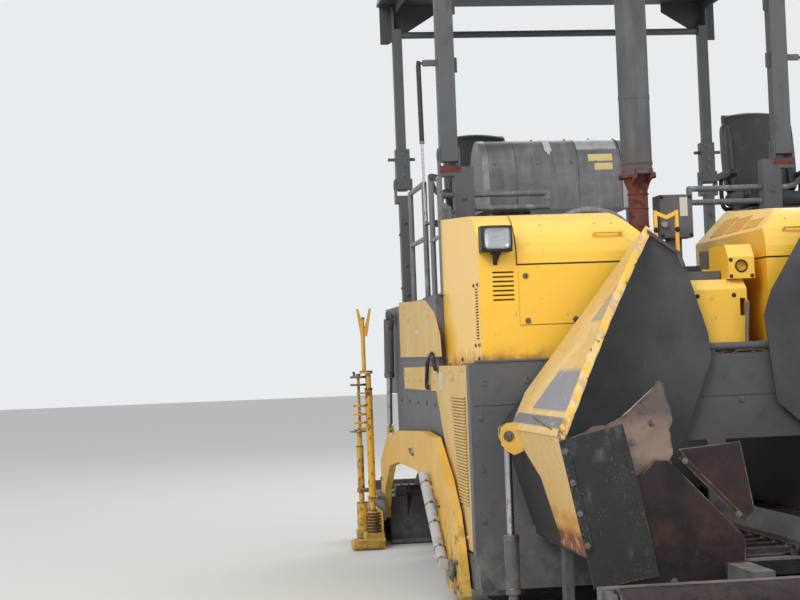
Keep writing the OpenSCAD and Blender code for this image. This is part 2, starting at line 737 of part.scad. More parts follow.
module wingRod(side) {
    eye = norm(wingEye(wingDown(side)) - [wing_pin[0], rod_foot_z]);
    color(steel) cylinderPose(side) {
        barZ(0, wing_pin[1], eye - 520, eye - 14, 18);
        barY(wing_pin[1] - 17, wing_pin[1] + 17, 0, eye, 29);
    }
}

// Brackets behind the bulkhead for the tow pins and in front of it for the wing cylinders
module tow_brackets() {
    color(dark) bothSides() {
        boxFrom([-half_w + 25, wall_back + fit, 120], [-track_x - shoe_w / 2 - 30, tow_y + 60, 300]);
        barX(-1322, -half_w + 25, tow_y, tow_z, 35);
        barX(-1332, -1322, tow_y, tow_z, 60);
        for (y = [wing_pin[1] - 45, wing_pin[1] + 30]) boxFrom([-1200, y, 82], [-1130, y + 15, 142]);
        boxFrom([-1190, wing_pin[1] - 45, 64], [-880, wing_pin[1] + 45, 84]);
        boxFrom([-920, wing_pin[1] - 45, 84], [-880, wing_pin[1] + 45, 394.6]);
        barY(wing_pin[1] - 50, wing_pin[1] + 50, wing_pin[0], rod_foot_z, 15);
    }
}

// Outline of a tow arm, deep at its tow pin and level over the track
arm_outline = [[-1040, 90], [-1010, 60], [-560, 70], [-450, 120], [-272, 335], [131, 540], [589, 650],
    [1500, 650],
    [2000, 600], [2300, 420], [2440, 200], [screed_y + 70, 200], [screed_y + 70, 600], [2150, 780],
        [1500, 860],
    [300, 900], [-171, 880], [-572, 680], [-807, 510], [-918, 340]];

module tow_arms() {
    color(yellow) bothSides() {
        difference() {
            union() {
                plateYZ(arm_outline, -arm_in - arm_t, arm_t);
                for (x = [-arm_in - arm_t, -arm_in - 7])
                    plateYZ([[1980, 790], [2030, 877], [2066, 877], [2120, 770]], x, 7);
            }
            barX(-1320, -1255, tow_y, tow_z, 35.05);
        }
        barX(-arm_in - arm_t - 4, -lift_x - 12, lift_eye[0], lift_eye[1], 15);
        barX(-lift_x + 12, -arm_in, lift_eye[0], lift_eye[1], 15);
    }
}

module screed() {
    color(dark) {
        boxFrom([-1250, screed_y, screed_gap], [1250, screed_y + screed_d, screed_gap + 30]);
        boxFrom([-1250, screed_y + 60, screed_gap + 30], [1250, screed_y + screed_d, 340]);
        bothSides() boxFrom([-arm_in + fit, screed_y + 20, 210], [-1240, screed_y + 70, 560]);
        boxFrom([-1200, screed_y + 80, 340], [1200, screed_y + 200, 420]);
    }
}

// Grey sensor tubes on the outer side of the tow arms
module arm_tubes() {
    color("#b0afae") bothSides() {
        rodTo([-1342, -560, 230], [-1342, 40, 655], 30);
        boxFrom([-1362, -640, 190], [-1322, -500, 240]);
        boxFrom([-1342, -300, 400], [-1308 - fit, -240, 440]);
        boxFrom([-1342, -80, 560], [-1308 - fit, -20, 600]);
        boxFrom([-1342, -620, 200], [-1308 - fit, -540, 230]);
    }
}

module liftBarrel(side) {
    color(dark) onSide(side) translate([-lift_x, lift_top[0],
        lift_top[1]]) rotate([lift_deg, 0, 0]) difference() {
        union() {
            translate([0, 0, -430]) cylinder(r = 34, h = 405, $fn = 48);
            barX(-17, 17, 0, 0, 34);
        }
        translate([0, 0, -440]) cylinder(r = 20.05, h = 390, $fn = 48);
        barX(-30, 30, 0, 0, 18.05);
    }
}

module liftRod(side) {
    color(steel) onSide(side) translate([-lift_x, lift_top[0], lift_top[1]]) rotate([lift_deg, 0, 0])
        translate([0, 0, -lift_len]) {
            translate([0, 0, 42]) cylinder(r = 20, h = 378, $fn = 48);
            boxFrom([-11, -14, 20], [11, 14, 44]);
            barX(-11, 11, 0, 0, 24);
        }
}

// Sliding screed half with the guide tubes for the end gate and the depth spindle's handwheels
module extension(side) {
    back = screed_y + screed_d + 12;
    color(dark) onSide(side) difference() {
        union() {
            boxFrom([-1330, back, screed_gap], [-60, 3190, screed_gap + 25]);
            boxFrom([-1330, back, screed_gap + 25], [-60, 3120, 360]);
            boxFrom([-1330, 2240, 200], [-1318, back, 375]);
            for (y = [2290, 3050]) boxFrom([-1437, y - 35, 345], [-1318, y + 35, 375]);
            barZ(-1405, 2290, 345, 1142, 26);
            barZ(-1405, 3050, 345, 700, 26);
            for (z = [852, 1100]) boxFrom([-1492, 2278, z], [-1405, 2302, z + 12]);
            barZ(-1476, 2290, 843, 1232, 10);
            for (z = [890, 950, 1010, 1160, 1215]) barZ(-1476, 2290, z, z + 14, 46);
        }
        barZ(-1405, 2290, 300, 1200, 20.05);
        barZ(-1405, 3050, 300, 800, 20.05);
    }
}

module endGate(side) {
    color(yellow) onSide(side) {
        boxFrom([-1352, 2240, screed_gap], [-1338, 3190, 270]);
        boxFrom([-1560, 2200, screed_gap], [-1338, 2380, 60]);
        boxFrom([-1470, 2200, 60], [-1338, 2380, 116]);
        plateYZ([[2150, 70], [2190, screed_gap], [2200, screed_gap], [2200, 60], [2155, 85]], -1560, 222);
        boxFrom([-1450, 2990, screed_gap], [-1338, 3110, 60]);
        for (i = [0 : 6]) barZ(-1405, 2290, 116 + i * 21, 129 + i * 21, 46);
        barZ(-1405, 2290, 110, 265, 38);
        barZ(-1405, 3050, 55, 270, 40);
        barZ(-1405, 2290, 260, 1256, 20);
        barZ(-1405, 3050, 260, 820, 20);
        barZ(-1418, 2290, 1244, 1258, 46);
        barZ(-1432, 2290, 1256, 1640, 15);
        plateXZ([[-1473, 1709], [-1458, 1709], [-1420, 1560], [-1381, 1709], [-1366, 1709], [-1400, 1512],
            [-1445, 1512]], 2280, 20);
        barZ(-1405, 3050, 800, 812, 70);
    }
}

module auger_box() {
    color(dark) boxFrom([-50, 1950 + fit, 300], [50, 2260, 900]);
}

module auger(side) {
    turns = 3.5;
    color(brown) onSide(side) {
        barX(-1180, -52, auger_y, auger_z, 30);
        translate([-1170, auger_y, auger_z]) rotate([0, 90, 0]) linear_extrude(1090,
            twist = -360 * turns, slices = 56)
            polygon([[20, -9], [auger_r, -9], [auger_r, 9], [20, 9]]);
    }
}

module strutBarrel(side) {
    color(black) onSide(side) translate([-strut_x, strut_top[0],
        strut_top[1]]) rotate([-strut_deg, 0, 0]) difference() {
        union() {
            translate([0, 0, -500]) cylinder(r = 15, h = 490, $fn = 48);
            barX(-10, 10, 0, 0, 15);
        }
        translate([0, 0, -510]) cylinder(r = 8.05, h = 480, $fn = 48);
        barX(-30, 30, 0, 0, 9.05);
    }
}

module strutRod(side) {
    color(steel) onSide(side) translate([-strut_x, strut_top[0], strut_top[1]]) rotate([-strut_deg, 0, 0])
        translate([0, 0, -strut_len]) {
            cylinder(r = 8, h = 530, $fn = 48);
            barX(-10, 10, 0, 0, 14);
        }
}

// Hose that loops from the side cover in front of the deck and back into it
module hoses() {
    color(black) bothSides() bentTube([[-1245 - fit, -60, 1270], [-1264, -60, 1270], [-1264, 60, 1360],
        [-1264, 250, 1310],
        [-1264, 320, 1180], [-1264, 300, 1158], [-1245 - fit, 300, 1158]], 12);
}

main_frame();
bulkhead();
hopper_floor();
front_plates();
conveyors();
track(-1);  // track_right
track(1);  // track_left
track_frames();
push_beam();
push_roller(-1);  // push_roller_right
push_roller(1);  // push_roller_left
engine_block();
hood(-1);  // hood_right
hood(1);  // hood_left
hoodLid(-1);  // hood_lid_right
hoodLid(1);  // hood_lid_left
centre_cowl();
deck_equipment();
headlamps();
exhaust_elbow();
exhaust_pipe();
side_panels();
body_shell();
platform();
handrails();
roof_bases();
roof_front_arms();
roof_rear_arms();
roof_panel();
console();
seat(-1, 607, -320);  // seat_right
seat(1, 1150, -1130);  // seat_left
wing(-1);  // wing_right
wing(1);  // wing_left
wingFlap(-1);  // wing_flap_right
wingFlap(1);  // wing_flap_left
wingBarrel(-1);  // wing_barrel_right
wingBarrel(1);  // wing_barrel_left
wingRod(-1);  // wing_rod_right
wingRod(1);  // wing_rod_left
tow_brackets();
tow_arms();
screed();
liftBarrel(-1);  // lift_barrel_right
liftBarrel(1);  // lift_barrel_left
liftRod(-1);  // lift_rod_right
liftRod(1);  // lift_rod_left
arm_tubes();
extension(-1);  // extension_right
extension(1);  // extension_left
endGate(-1);  // end_gate_right
endGate(1);  // end_gate_left
auger_box();
auger(-1);  // auger_right
auger(1);  // auger_left
strutBarrel(-1);  // strut_barrel_right
strutBarrel(1);  // strut_barrel_left
strutRod(-1);  // strut_rod_right
strutRod(1);  // strut_rod_left
hoses();
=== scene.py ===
import math

import bmesh
import bpy
from mathutils import Matrix, Vector


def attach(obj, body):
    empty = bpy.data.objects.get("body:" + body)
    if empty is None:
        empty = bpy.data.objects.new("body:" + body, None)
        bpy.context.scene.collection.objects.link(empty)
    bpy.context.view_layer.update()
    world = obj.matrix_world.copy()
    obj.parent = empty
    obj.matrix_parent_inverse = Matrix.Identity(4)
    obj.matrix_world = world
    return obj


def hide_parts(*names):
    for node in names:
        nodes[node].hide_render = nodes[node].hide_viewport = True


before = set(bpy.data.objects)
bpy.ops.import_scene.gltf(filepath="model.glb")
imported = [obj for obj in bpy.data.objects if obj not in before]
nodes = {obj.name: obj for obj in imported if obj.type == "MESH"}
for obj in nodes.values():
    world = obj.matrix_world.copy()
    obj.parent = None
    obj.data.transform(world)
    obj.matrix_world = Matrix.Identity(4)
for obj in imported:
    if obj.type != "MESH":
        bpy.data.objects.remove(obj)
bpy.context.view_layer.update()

view = {
    "place": (-2.70, -9.80, 1.32),   # standing in front of the right-hand corner, in metres
    "yaw": -7.29,                    # degrees, turned towards the machine's left
    "pitch": 2.08,
    "roll": -2.20,
    "focal": 1700 / 800 * 36,        # mm on a 36 mm sensor
    "sensor": 36,
    "clipEnd": 200,
}


def addCamera():
    data = bpy.data.cameras.new("camera")
    data.lens = view["focal"]
    data.sensor_width = view["sensor"]
    data.clip_end = view["clipEnd"]
    camera = bpy.data.objects.new("camera", data)
    bpy.context.collection.objects.link(camera)
    turn = (Matrix.Rotation(math.radians(view["yaw"]), 4, "Z")
            @ Matrix.Rotation(math.radians(90 + view["pitch"]), 4, "X")
            @ Matrix.Rotation(math.radians(view["roll"]), 4, "Z"))
    camera.matrix_world = Matrix.Translation(view["place"]) @ turn
    bpy.context.scene.camera = camera


addCamera()
print("camera placed")


def toLinear(hexColour):
    channels = [int(hexColour[i:i + 2], 16) / 255 for i in (1, 3, 5)]
    return tuple(c / 12.92 if c <= 0.04045 else ((c + 0.055) / 1.055) ** 2.4 for c in channels) + (1,)


def setInput(tree, socket, value):
    if isinstance(value, bpy.types.NodeSocket):
        tree.links.new(value, socket)
    else:
        socket.default_value = value


def addNode(tree, kind, settings=None, inputs=None):
    node = tree.nodes.new(kind)
    for key, value in (settings or {}).items():
        setattr(node, key, value)
    for key, value in (inputs or {}).items():
        setInput(tree, node.inputs[key], value)
    return node


def layer(hexColour, *blotches, **rest):
    # one colour over the others; blotches hold their real size in mm, the noise levels that they fade in
    # between, and a stretch; bands are in metres, edge in mm, and most is how far the layer covers
    return {"hex": hexColour, **({"noise": blotches} if blotches else {}), **rest}


def surface(hexColour, rough, slotName, *layers, **rest):
    # rough, metallic, coat, transmission and ior are the shader's own; round is the edge rounding in mm,
    # and bumps are sizes and depths in mm
    return {"hex": hexColour, "rough": rough, "slot": slotName, "layers": list(layers), **rest}


# noise levels of every blotch and bump, and how much a normal turns at what counts as a sharp edge
patterns = {"detail": 5, "roughness": 0.62, "bumpDetail": 4, "bumpStrength": 0.7, "flat": 0.98, "sharp": 0.8,
            "edgeSamples": 4, "roundSamples": 3}


def layerMask(tree, place, look):
    # the product of what the layer names: blotches, bands along an axis, a facing, sharp edges
    masks = []
    for size, low, high, *stretch in [look[key] for key in ("noise", "noise2") if key in look]:
        spread = addNode(tree, "ShaderNodeMapping", inputs={
            "Vector": place, "Scale": stretch[0] if stretch else (1, 1, 1),
            "Location": (size, low * 9, high * 5)})
        noise = addNode(tree, "ShaderNodeTexNoise", inputs={
            "Vector": spread.outputs[0], "Scale": 1000 / size, "Detail": patterns["detail"],
            "Roughness": patterns["roughness"]})
        masks.append(addNode(tree, "ShaderNodeMapRange", {"interpolation_type": "SMOOTHSTEP"}, {
            "Value": noise.outputs["Fac"], "From Min": low, "From Max": high}).outputs[0])
    for axis, start, end in look.get("bands", []):
        reach = addNode(tree, "ShaderNodeVectorMath", {"operation": "DOT_PRODUCT"}, {
            0: place, 1: {"X": (1, 0, 0), "Y": (0, 1, 0), "Z": (0, 0, 1)}.get(axis, axis)})
        masks.append(addNode(tree, "ShaderNodeMapRange", {"interpolation_type": "SMOOTHSTEP"}, {
            "Value": reach.outputs["Value"], "From Min": min(start, end), "From Max": max(start, end),
            "To Min": 0 if end > start else 1, "To Max": 1 if end > start else 0}).outputs[0])
    if "facing" in look:
        direction, low, high = look["facing"]
        normal = addNode(tree, "ShaderNodeTexCoord").outputs["Normal"]
        dot = addNode(tree, "ShaderNodeVectorMath", {"operation": "DOT_PRODUCT"}, {
            0: normal, 1: Vector(direction).normalized()})
        masks.append(addNode(tree, "ShaderNodeMapRange", inputs={
            "Value": dot.outputs["Value"], "From Min": low, "From Max": high}).outputs[0])
    if "edge" in look:
        bevel = addNode(tree, "ShaderNodeBevel", {"samples": patterns["edgeSamples"]}, {
            "Radius": look["edge"] / 1000})
        flat = addNode(tree, "ShaderNodeNewGeometry")
        dot = addNode(tree, "ShaderNodeVectorMath", {"operation": "DOT_PRODUCT"}, {
            0: bevel.outputs[0], 1: flat.outputs["Normal"]})
        masks.append(addNode(tree, "ShaderNodeMapRange", inputs={
            "Value": dot.outputs["Value"], "From Min": patterns["flat"],
            "From Max": patterns["sharp"]}).outputs[0])
    if "most" in look:
        masks.append(look["most"])
    joined = masks[0]
    for mask in masks[1:]:
        joined = addNode(tree, "ShaderNodeMath", {"operation": "MULTIPLY"}, {0: joined, 1: mask}).outputs[0]
    return joined


def finishedSurface(name, look):
    # the first colour covers all, and each layer shows where its mask is 1
    material = bpy.data.materials.new(name)
    material.use_nodes = True
    tree = material.node_tree
    shader = tree.nodes["Principled BSDF"]
    place = addNode(tree, "ShaderNodeTexCoord").outputs["Object"]
    colour, rough = toLinear(look["hex"]), look["rough"]
    for over in look["layers"]:
        mask = layerMask(tree, place, over)
        colour = addNode(tree, "ShaderNodeMix", {"data_type": "RGBA"}, {
            "Factor": mask, 6: colour, 7: toLinear(over["hex"])}).outputs[2]
        if "rough" in over:
            rough = addNode(tree, "ShaderNodeMix", {"data_type": "FLOAT"}, {
                0: mask, 2: rough, 3: over["rough"]}).outputs[0]
    setInput(tree, shader.inputs["Base Color"], colour)
    setInput(tree, shader.inputs["Roughness"], rough)
    shader.inputs["Metallic"].default_value = look.get("metallic", 0)
    shader.inputs["IOR"].default_value = look.get("ior", 1.5)
    shader.inputs["Transmission Weight"].default_value = look.get("transmission", 0)
    shader.inputs["Coat Weight"].default_value = look.get("coat", 0)
    shape = None
    if "round" in look:
        shape = addNode(tree, "ShaderNodeBevel", {"samples": patterns["roundSamples"]}, {
            "Radius": look["round"] / 1000}).outputs[0]
    for size, depth in look.get("bumps", []):
        grain = addNode(tree, "ShaderNodeTexNoise", inputs={
            "Vector": place, "Scale": 1000 / size, "Detail": patterns["bumpDetail"]})
        bump = addNode(tree, "ShaderNodeBump", inputs={
            "Height": grain.outputs["Fac"], "Distance": depth / 1000, "Strength": patterns["bumpStrength"]})
        if shape is not None:
            tree.links.new(shape, bump.inputs["Normal"])
        shape = bump.outputs[0]
    if shape is not None:
        tree.links.new(shape, shader.inputs["Normal"])
    return material


dust = "#a09789"
bitumen = "#201c1a"
upward, downward, forward = (0, 0, 1), (0, 0, -1), (0, -1, 0)
alongZ = (1, 1, 0.2)


def wingPaint(s):
    # hot-rolled wing plate, brush-painted yellow outside and dark grey inside: the eye reads one folded
    # sheet with chalked paint, grey worn patches, a bare lip in front and rust along the foot; its pale
    # upright scratches are a millimetre wide on the real one and are drawn coarser, to show at full view.
    # Painted light and shade: the faces turned to the front are paler grey as lit faces, and the outer
    # face's lower rear corner is near black as a painted shadow
    outside = {"facing": ((s * 0.95, 0, 0.3), 0.25, 0.35)}
    lip = {"facing": (forward, 0.5, 0.8)}
    return surface(
        "#38383a", 0.55, "dark_grey_paint",
        layer("#4c4c4e", 520, 0.4, 0.7, most=0.8),
        # painted light: the faces turned to the front are paler grey, in broad patches
        layer("#6d6c6c", 700, 0.35, 0.7, most=0.5, **lip),
        layer("#252526", 160, 0.5, 0.72, bands=[("Z", 0.98, 0.6)], most=0.9),
        layer("#b9b7b2", 9, 0.66, 0.7, (1, 1, 0.14), noise2=(240, 0.52, 0.62), most=0.8),
        layer("#8b7a70", bands=[("Y", -2.5, -2.54)], rough=0.5, **lip),
        layer("#b3907c", 120, 0.4, 0.65, bands=[("Y", -2.5, -2.54), ("Z", 1.0, 0.85)], rough=0.55, **lip),
        layer("#d8b26c", rough=0.6, **outside),
        layer("#e2c893", 360, 0.42, 0.68, most=0.7, **outside),
        layer("#8a8a92", 60, 0.2, 0.42, alongZ, rough=0.7, bands=[
            ("Z", 1.065, 1.08), ("Z", 1.27, 1.235), ("Y", -2.62, -2.58), ("Y", -1.75, -1.8)], **outside),
        layer("#77777a", 40, 0.25, 0.45, rough=0.7, bands=[
            ("Z", 1.0, 1.008), ("Z", 1.052, 1.046), ("Y", -1.5, -1.56)], **outside),
        layer("#8f8c86", 30, 0.3, 0.5, (1, 1, 0.25), rough=0.7, most=0.8, bands=[
            ("Z", 1.47, 1.49), ("Z", 1.68, 1.66), ("Y", -2.1, -2.05), ("Y", -1.66, -1.7)], **outside),
        layer("#a9763f", 60, 0.56, 0.72, most=0.5, rough=0.8, **outside),
        layer("#c98f3c", 90, 0.3, 0.6, bands=[("Z", 0.66, 0.58)], rough=0.75, **outside),
        layer("#7a4a33", 70, 0.3, 0.5, bands=[("Z", 0.56, 0.5)], rough=0.85),
        # painted shadow: the outer face's lower rear corner, behind a slanting line, is near black
        layer("#2b2a2a", rough=0.9, bands=[
            ((0, 0.533, -0.846), -1.69, -1.675), ("Y", -1.975, -1.95)], **outside),
        layer("#5a4234", 7, 0.7, 0.74, rough=0.9, most=0.8, **outside),
        round=3, bumps=[(300, 1.5)])


surfaces = {
    "wingEnamelRight": wingPaint(-1),
    "wingEnamelLeft": wingPaint(1),
    # oven-dried two-coat enamel on pressed hood sheet: smooth, with a painted highlight that makes the faces
    # turned up paler and more matt, and rust creeping up from the lower edge; its stone chips are drawn coarser
    # than real
    "hoodEnamel": surface(
        "#f8c23a", 0.36, "yellow_paint",
        # painted highlight: paler yellow on the faces turned up towards the light
        layer("#f8d678", facing=((0, -0.2, 1), 0.15, 1.0), most=0.85, rough=0.5),
        layer("#f0b02c", 420, 0.45, 0.75, most=0.3),
        layer("#c48a34", 90, 0.4, 0.66, bands=[("Z", 1.40, 1.30)], rough=0.8),
        layer("#7d5232", 30, 0.42, 0.58, bands=[("Z", 1.345, 1.29)], rough=0.9),
        layer("#8b7f66", 45, 0.62, 0.75, most=0.5),
        layer("#6b4a2c", 6, 0.71, 0.75, most=0.8, rough=0.9),
        coat=0.15, round=5, bumps=[(260, 1.2)]),
    # the same enamel years older on the side covers: faded to tan, matt, scuffed to brown at edges
    "chalkedEnamel": surface(
        "#d2ad66", 0.62, "tan_paint",
        layer("#ddc186", 380, 0.4, 0.7, most=0.6),
        layer("#bd9450", 120, 0.55, 0.75, most=0.5),
        layer("#8a6a45", 30, 0.55, 0.66, edge=8, rough=0.85),
        layer("#6f5a40", 9, 0.68, 0.73, rough=0.9),
        layer(dust, 160, 0.4, 0.8, bands=[("Z", 0.75, 0.2)], most=0.6, rough=0.9),
        round=3, bumps=[(300, 1.0)]),
    # brush paint on thick flame-cut arms: deeper yellow, chipped corners, mud and bitumen low down
    "armEnamel": surface(
        "#dba93c", 0.5, "yellow_paint",
        layer("#e3bd69", 300, 0.4, 0.7, most=0.7),
        layer("#8a5a38", 35, 0.55, 0.66, edge=9, rough=0.85),
        layer("#5a4a3c", 80, 0.5, 0.68, bands=[("Z", 0.7, 0.15)], rough=0.9),
        layer("#8f7a4a", 130, 0.4, 0.7, bands=[("Z", 0.42, 0.1)], most=0.8, rough=0.8),
        layer(bitumen, 90, 0.46, 0.72, bands=[("Z", 0.26, 0.0)], most=0.85, rough=0.7),
        round=4, bumps=[(200, 1.2)]),
    # enamel beaten off the wing's folded lip by knocks: pale primer and rust in long flakes
    "chippedEdge": surface(
        "#efc04a", 0.5, "yellow_paint",
        layer("#e6cc94", 90, 0.45, 0.6, most=0.8),
        layer("#c2a890", 70, 0.52, 0.6, (1, 0.4, 0.6), rough=0.6, most=0.8),
        layer("#6a4636", 46, 0.6, 0.64, (1, 0.5, 0.7), rough=0.85, most=0.85),
        layer("#5a4038", 60, 0.4, 0.6, edge=5, most=0.8, rough=0.85),
        layer("#6a4630", 60, 0.4, 0.6, bands=[("Z", 1.1, 0.98)], rough=0.85),
        round=2, bumps=[(20, 0.6)]),
    # chassis paint sprayed on welded plate: flat dark grey, dusty on top, spattered with bitumen below,
    # bright where edges rub; the spatter is drawn coarser than real, to show at full view
    "greyEnamel": surface(
        "#58585b", 0.55, "dark_grey_paint",
        layer("#6a696a", 300, 0.45, 0.75, most=0.5),
        layer("#464546", 90, 0.55, 0.72, most=0.6),
        layer("#8d8a86", 14, 0.6, 0.68, edge=6, rough=0.7),
        layer(dust, 200, 0.35, 0.75, facing=(upward, 0.6, 0.95), most=0.5, rough=0.9),
        layer(dust, 130, 0.42, 0.8, bands=[("Z", 0.8, 0.1)], most=0.45, rough=0.9),
        layer(bitumen, 150, 0.42, 0.72, bands=[("Z", 0.5, 0.06)], most=0.75, rough=0.6),
        layer("#8a857c", 11, 0.6, 0.7, noise2=(260, 0.42, 0.6), bands=[("Z", 0.5, 0.2)], most=0.6),
        round=3, bumps=[(350, 1.0)]),
    # rolled wear steel, rubbed all day: brown-black, with a dull foot and bright scouring, whose
    # hair-fine lines are drawn as coarse as specks of a few millimetres
    "scouredSteel": surface(
        "#33272a", 0.5, "worn_steel",
        layer("#40302c", 260, 0.42, 0.66, rough=0.6),
        layer("#241d1c", 150, 0.45, 0.7, most=0.75, rough=0.65),
        layer("#5c4640", 7, 0.52, 0.7, noise2=(180, 0.42, 0.62), rough=0.45, most=0.6),
        layer("#8d7f78", 60, 0.35, 0.55, edge=9, rough=0.4, most=0.8),
        layer("#181616", 60, 0.5, 0.64, bands=[("Z", 0.62, 0.35)], most=0.7, rough=0.6),
        metallic=0.3, round=3, bumps=[(14, 0.8)]),
    # cut plate at the hopper's mouth, oiled every day: near black with rust-brown clouds and a glossy
    # rim, its fine scouring drawn coarser than real
    "frontSteel": surface(
        "#2d2121", 0.42, "worn_steel",
        layer("#412a25", 330, 0.44, 0.64, rough=0.5),
        layer("#181414", 240, 0.46, 0.66, most=0.9, rough=0.6),
        layer("#6b5148", 6, 0.56, 0.7, noise2=(180, 0.45, 0.62), rough=0.4, most=0.6),
        layer("#9a8d86", 90, 0.35, 0.6, edge=12, rough=0.35, most=0.9),
        layer("#141212", 50, 0.48, 0.6, bands=[("Z", 0.7, 0.35)], most=0.8, rough=0.6),
        metallic=0.35, round=4, bumps=[(14, 0.8)]),
    # bare rolled plate, polished to a warm tan low down, grey and less rubbed at its top
    "tanSteel": surface(
        "#8d776a", 0.5, "worn_steel",
        layer("#5b5350", bands=[("Z", 0.99, 1.07)], most=0.9),
        layer("#6f5c53", 130, 0.45, 0.7, most=0.7),
        layer("#3a3432", 50, 0.5, 0.6, noise2=(200, 0.45, 0.6), bands=[("Z", 0.9, 1.1)], most=0.9),
        layer("#a58b7a", 90, 0.5, 0.7, bands=[("Z", 1.0, 0.9)], most=0.6),
        layer("#262220", 40, 0.4, 0.55, edge=16),
        metallic=0.25, bumps=[(30, 0.6)]),
    # ground and hard-chromed cylinder rod: a thin mirror, dulled in spots by a film of dust
    "rodChrome": surface(
        "#b4b4b8", 0.2, "bare_steel",
        layer("#85837f", 60, 0.55, 0.7, rough=0.45),
        metallic=1.0),
    # zinc-plated fasteners: soft grey metal with brown in the corners
    "zincSteel": surface(
        "#7d7976", 0.4, "bare_steel",
        layer("#5e4a3e", 12, 0.5, 0.65, rough=0.7),
        metallic=0.8, round=1),
    # moulded track rubber: black, dust in the tread, pale scuffed corners
    "trackRubber": surface(
        "#2b2a2a", 0.85, "black_rubber",
        layer("#5d5750", 90, 0.45, 0.7, rough=0.95, most=0.7),
        layer("#7d766c", 30, 0.55, 0.7, edge=12, most=0.7),
        round=4, bumps=[(12, 0.8)]),
    # cut sheet of fabric-reinforced rubber: charcoal, slightly wavy, scraped in short pale strokes that
    # are drawn two or three times as wide as real
    "dustyRubber": surface(
        "#212122", 0.7, "black_rubber",
        layer("#353434", 200, 0.42, 0.7, most=0.8, rough=0.85),
        layer("#5c5a59", 60, 0.5, 0.66, (1, 1, 0.5), noise2=(320, 0.5, 0.62), most=0.8, rough=0.9),
        layer("#6d6b6a", 7, 0.56, 0.68, (0.5, 1, 1), noise2=(150, 0.5, 0.68), most=0.7, rough=0.9),
        layer("#8c8a86", 5, 0.64, 0.7, (1, 1, 0.12), noise2=(260, 0.42, 0.6), most=0.7, rough=0.9),
        layer("#8c8a86", 16, 0.5, 0.62, edge=8, most=0.7, rough=0.95),
        round=3, bumps=[(30, 1.5), (120, 4)]),
    # cast iron that has burnt off its paint: dead matt, dark red, lighter where it flakes
    "rustedIron": surface(
        "#6b3a35", 0.85, "rusty_iron",
        layer("#4a2622", 60, 0.45, 0.65),
        layer("#9a6249", 24, 0.58, 0.7, most=0.8),
        bumps=[(10, 0.8)]),
    # engine castings in primer under oily dust: a quiet dark mass between the hoods
    "engineIron": surface(
        "#3d3e40", 0.7, "dark_grey_paint",
        layer("#55524e", 70, 0.45, 0.7, most=0.8, rough=0.85),
        round=4),
    # bent steel tube, powder-coated and handled: satin grey with lengthwise pale wear
    "paintedTube": surface(
        "#6b6b6e", 0.42, "rail_grey",
        layer("#9c9b98", 70, 0.5, 0.7, (1, 1, 0.3), most=0.7),
        layer("#454341", 30, 0.6, 0.7)),
    # drawn aluminium and galvanised sheet: pale and even, with faint darker clouds
    "paleTube": surface("#b0afae", 0.4, "rail_grey", layer("#8c8a87", 70, 0.5, 0.7, most=0.7), round=2),
    # wire-wound duct hose: grey skin, light on the ribs and shaded beneath
    "ductSkin": surface(
        "#77777a", 0.55, "dark_grey_paint",
        layer("#a3a3a4", 30, 0.45, 0.7, most=0.7),
        layer("#4a4948", facing=(downward, 0.2, 0.7), most=0.8)),
    # heat-resisting paint on rolled pipe: sooty grey in upright streaks, burnt red at the flange
    "exhaustPaint": surface(
        "#4a4a4d", 0.6, "dark_grey_paint",
        layer("#6e6e71", 260, 0.4, 0.7, (1, 1, 0.35), most=0.7),
        layer("#3f3e40", 200, 0.5, 0.7, (1, 1, 0.5), most=0.7),
        layer("#7a4a3a", 30, 0.5, 0.66, bands=[("Z", 2.50, 2.33)], rough=0.85),
        bumps=[(40, 0.5)]),
    # glass-fibre roof panel, moulded face up: weathered pale grey above, dark and plain beneath
    "roofLaminate": surface(
        "#a9a9aa", 0.6, "roof_panel",
        layer("#908f8e", 400, 0.4, 0.7, most=0.6),
        layer("#3c3c3f", facing=(downward, 0.3, 0.6)),
        layer("#414144", bands=[("Z", 3.868, 3.865)]),
        round=6),
    # thin sheet rolled round the controls, its paint washed by rain: grey in fine upright streaks
    "consoleSheet": surface(
        "#68686b", 0.45, "dark_grey_paint",
        layer("#838386", 260, 0.42, 0.68, (0.5, 1, 2), most=0.6),
        layer("#4f4d4d", 200, 0.5, 0.72, (2, 1, 0.5), most=0.5),
        layer("#8e8e90", 70, 0.48, 0.72, (1, 0.2, 0.2), most=0.6),
        layer("#56565a", 45, 0.5, 0.72, (1, 0.15, 0.15), most=0.6),
        layer("#9b9a99", 6, 0.66, 0.7, (1, 0.1, 1), most=0.5),
        layer("#8d7f6c", 90, 0.55, 0.7, bands=[("Z", 2.45, 2.3)], most=0.5),
        round=4, bumps=[(200, 0.6)]),
    # embossed vinyl over foam: black, with soft folds, dust on the flats and a leather grain of one
    # millimetre that is drawn at three
    "seatVinyl": surface(
        "#232325", 0.5, "black_seat",
        layer("#3d3c3d", 90, 0.5, 0.7, most=0.6),
        layer("#6a6763", 140, 0.5, 0.75, facing=(upward, 0.4, 0.9), most=0.5, rough=0.8),
        bumps=[(3, 0.4), (60, 1.5)]),
    # injection-moulded plastic and painted gas struts: near black with greyed patches
    "blackPlastic": surface("#1f1f21", 0.5, "black_seat", layer("#3a3938", 40, 0.55, 0.7, most=0.6), round=4),
    # brushed trim sheet: silver, half metal and half lacquer
    "silverTrim": surface(
        "#a8a8aa", 0.35, "rail_grey",
        layer("#7f7e7e", 90, 0.5, 0.7, most=0.7),
        metallic=0.5),
    # plain plastic film on thin plate: off-white, barely mottled by age
    "blankLabel": surface("#cfccc2", 0.6, "rail_grey", layer("#b9b4a8", 300, 0.3, 0.7, most=0.6)),
    # the same film in a faded amber
    "amberLabel": surface("#d9c88f", 0.6, "yellow_paint", layer("#cbb26c", 300, 0.3, 0.7, most=0.6)),
    # pressed lamp glass: clear, its flutes bending what lies behind
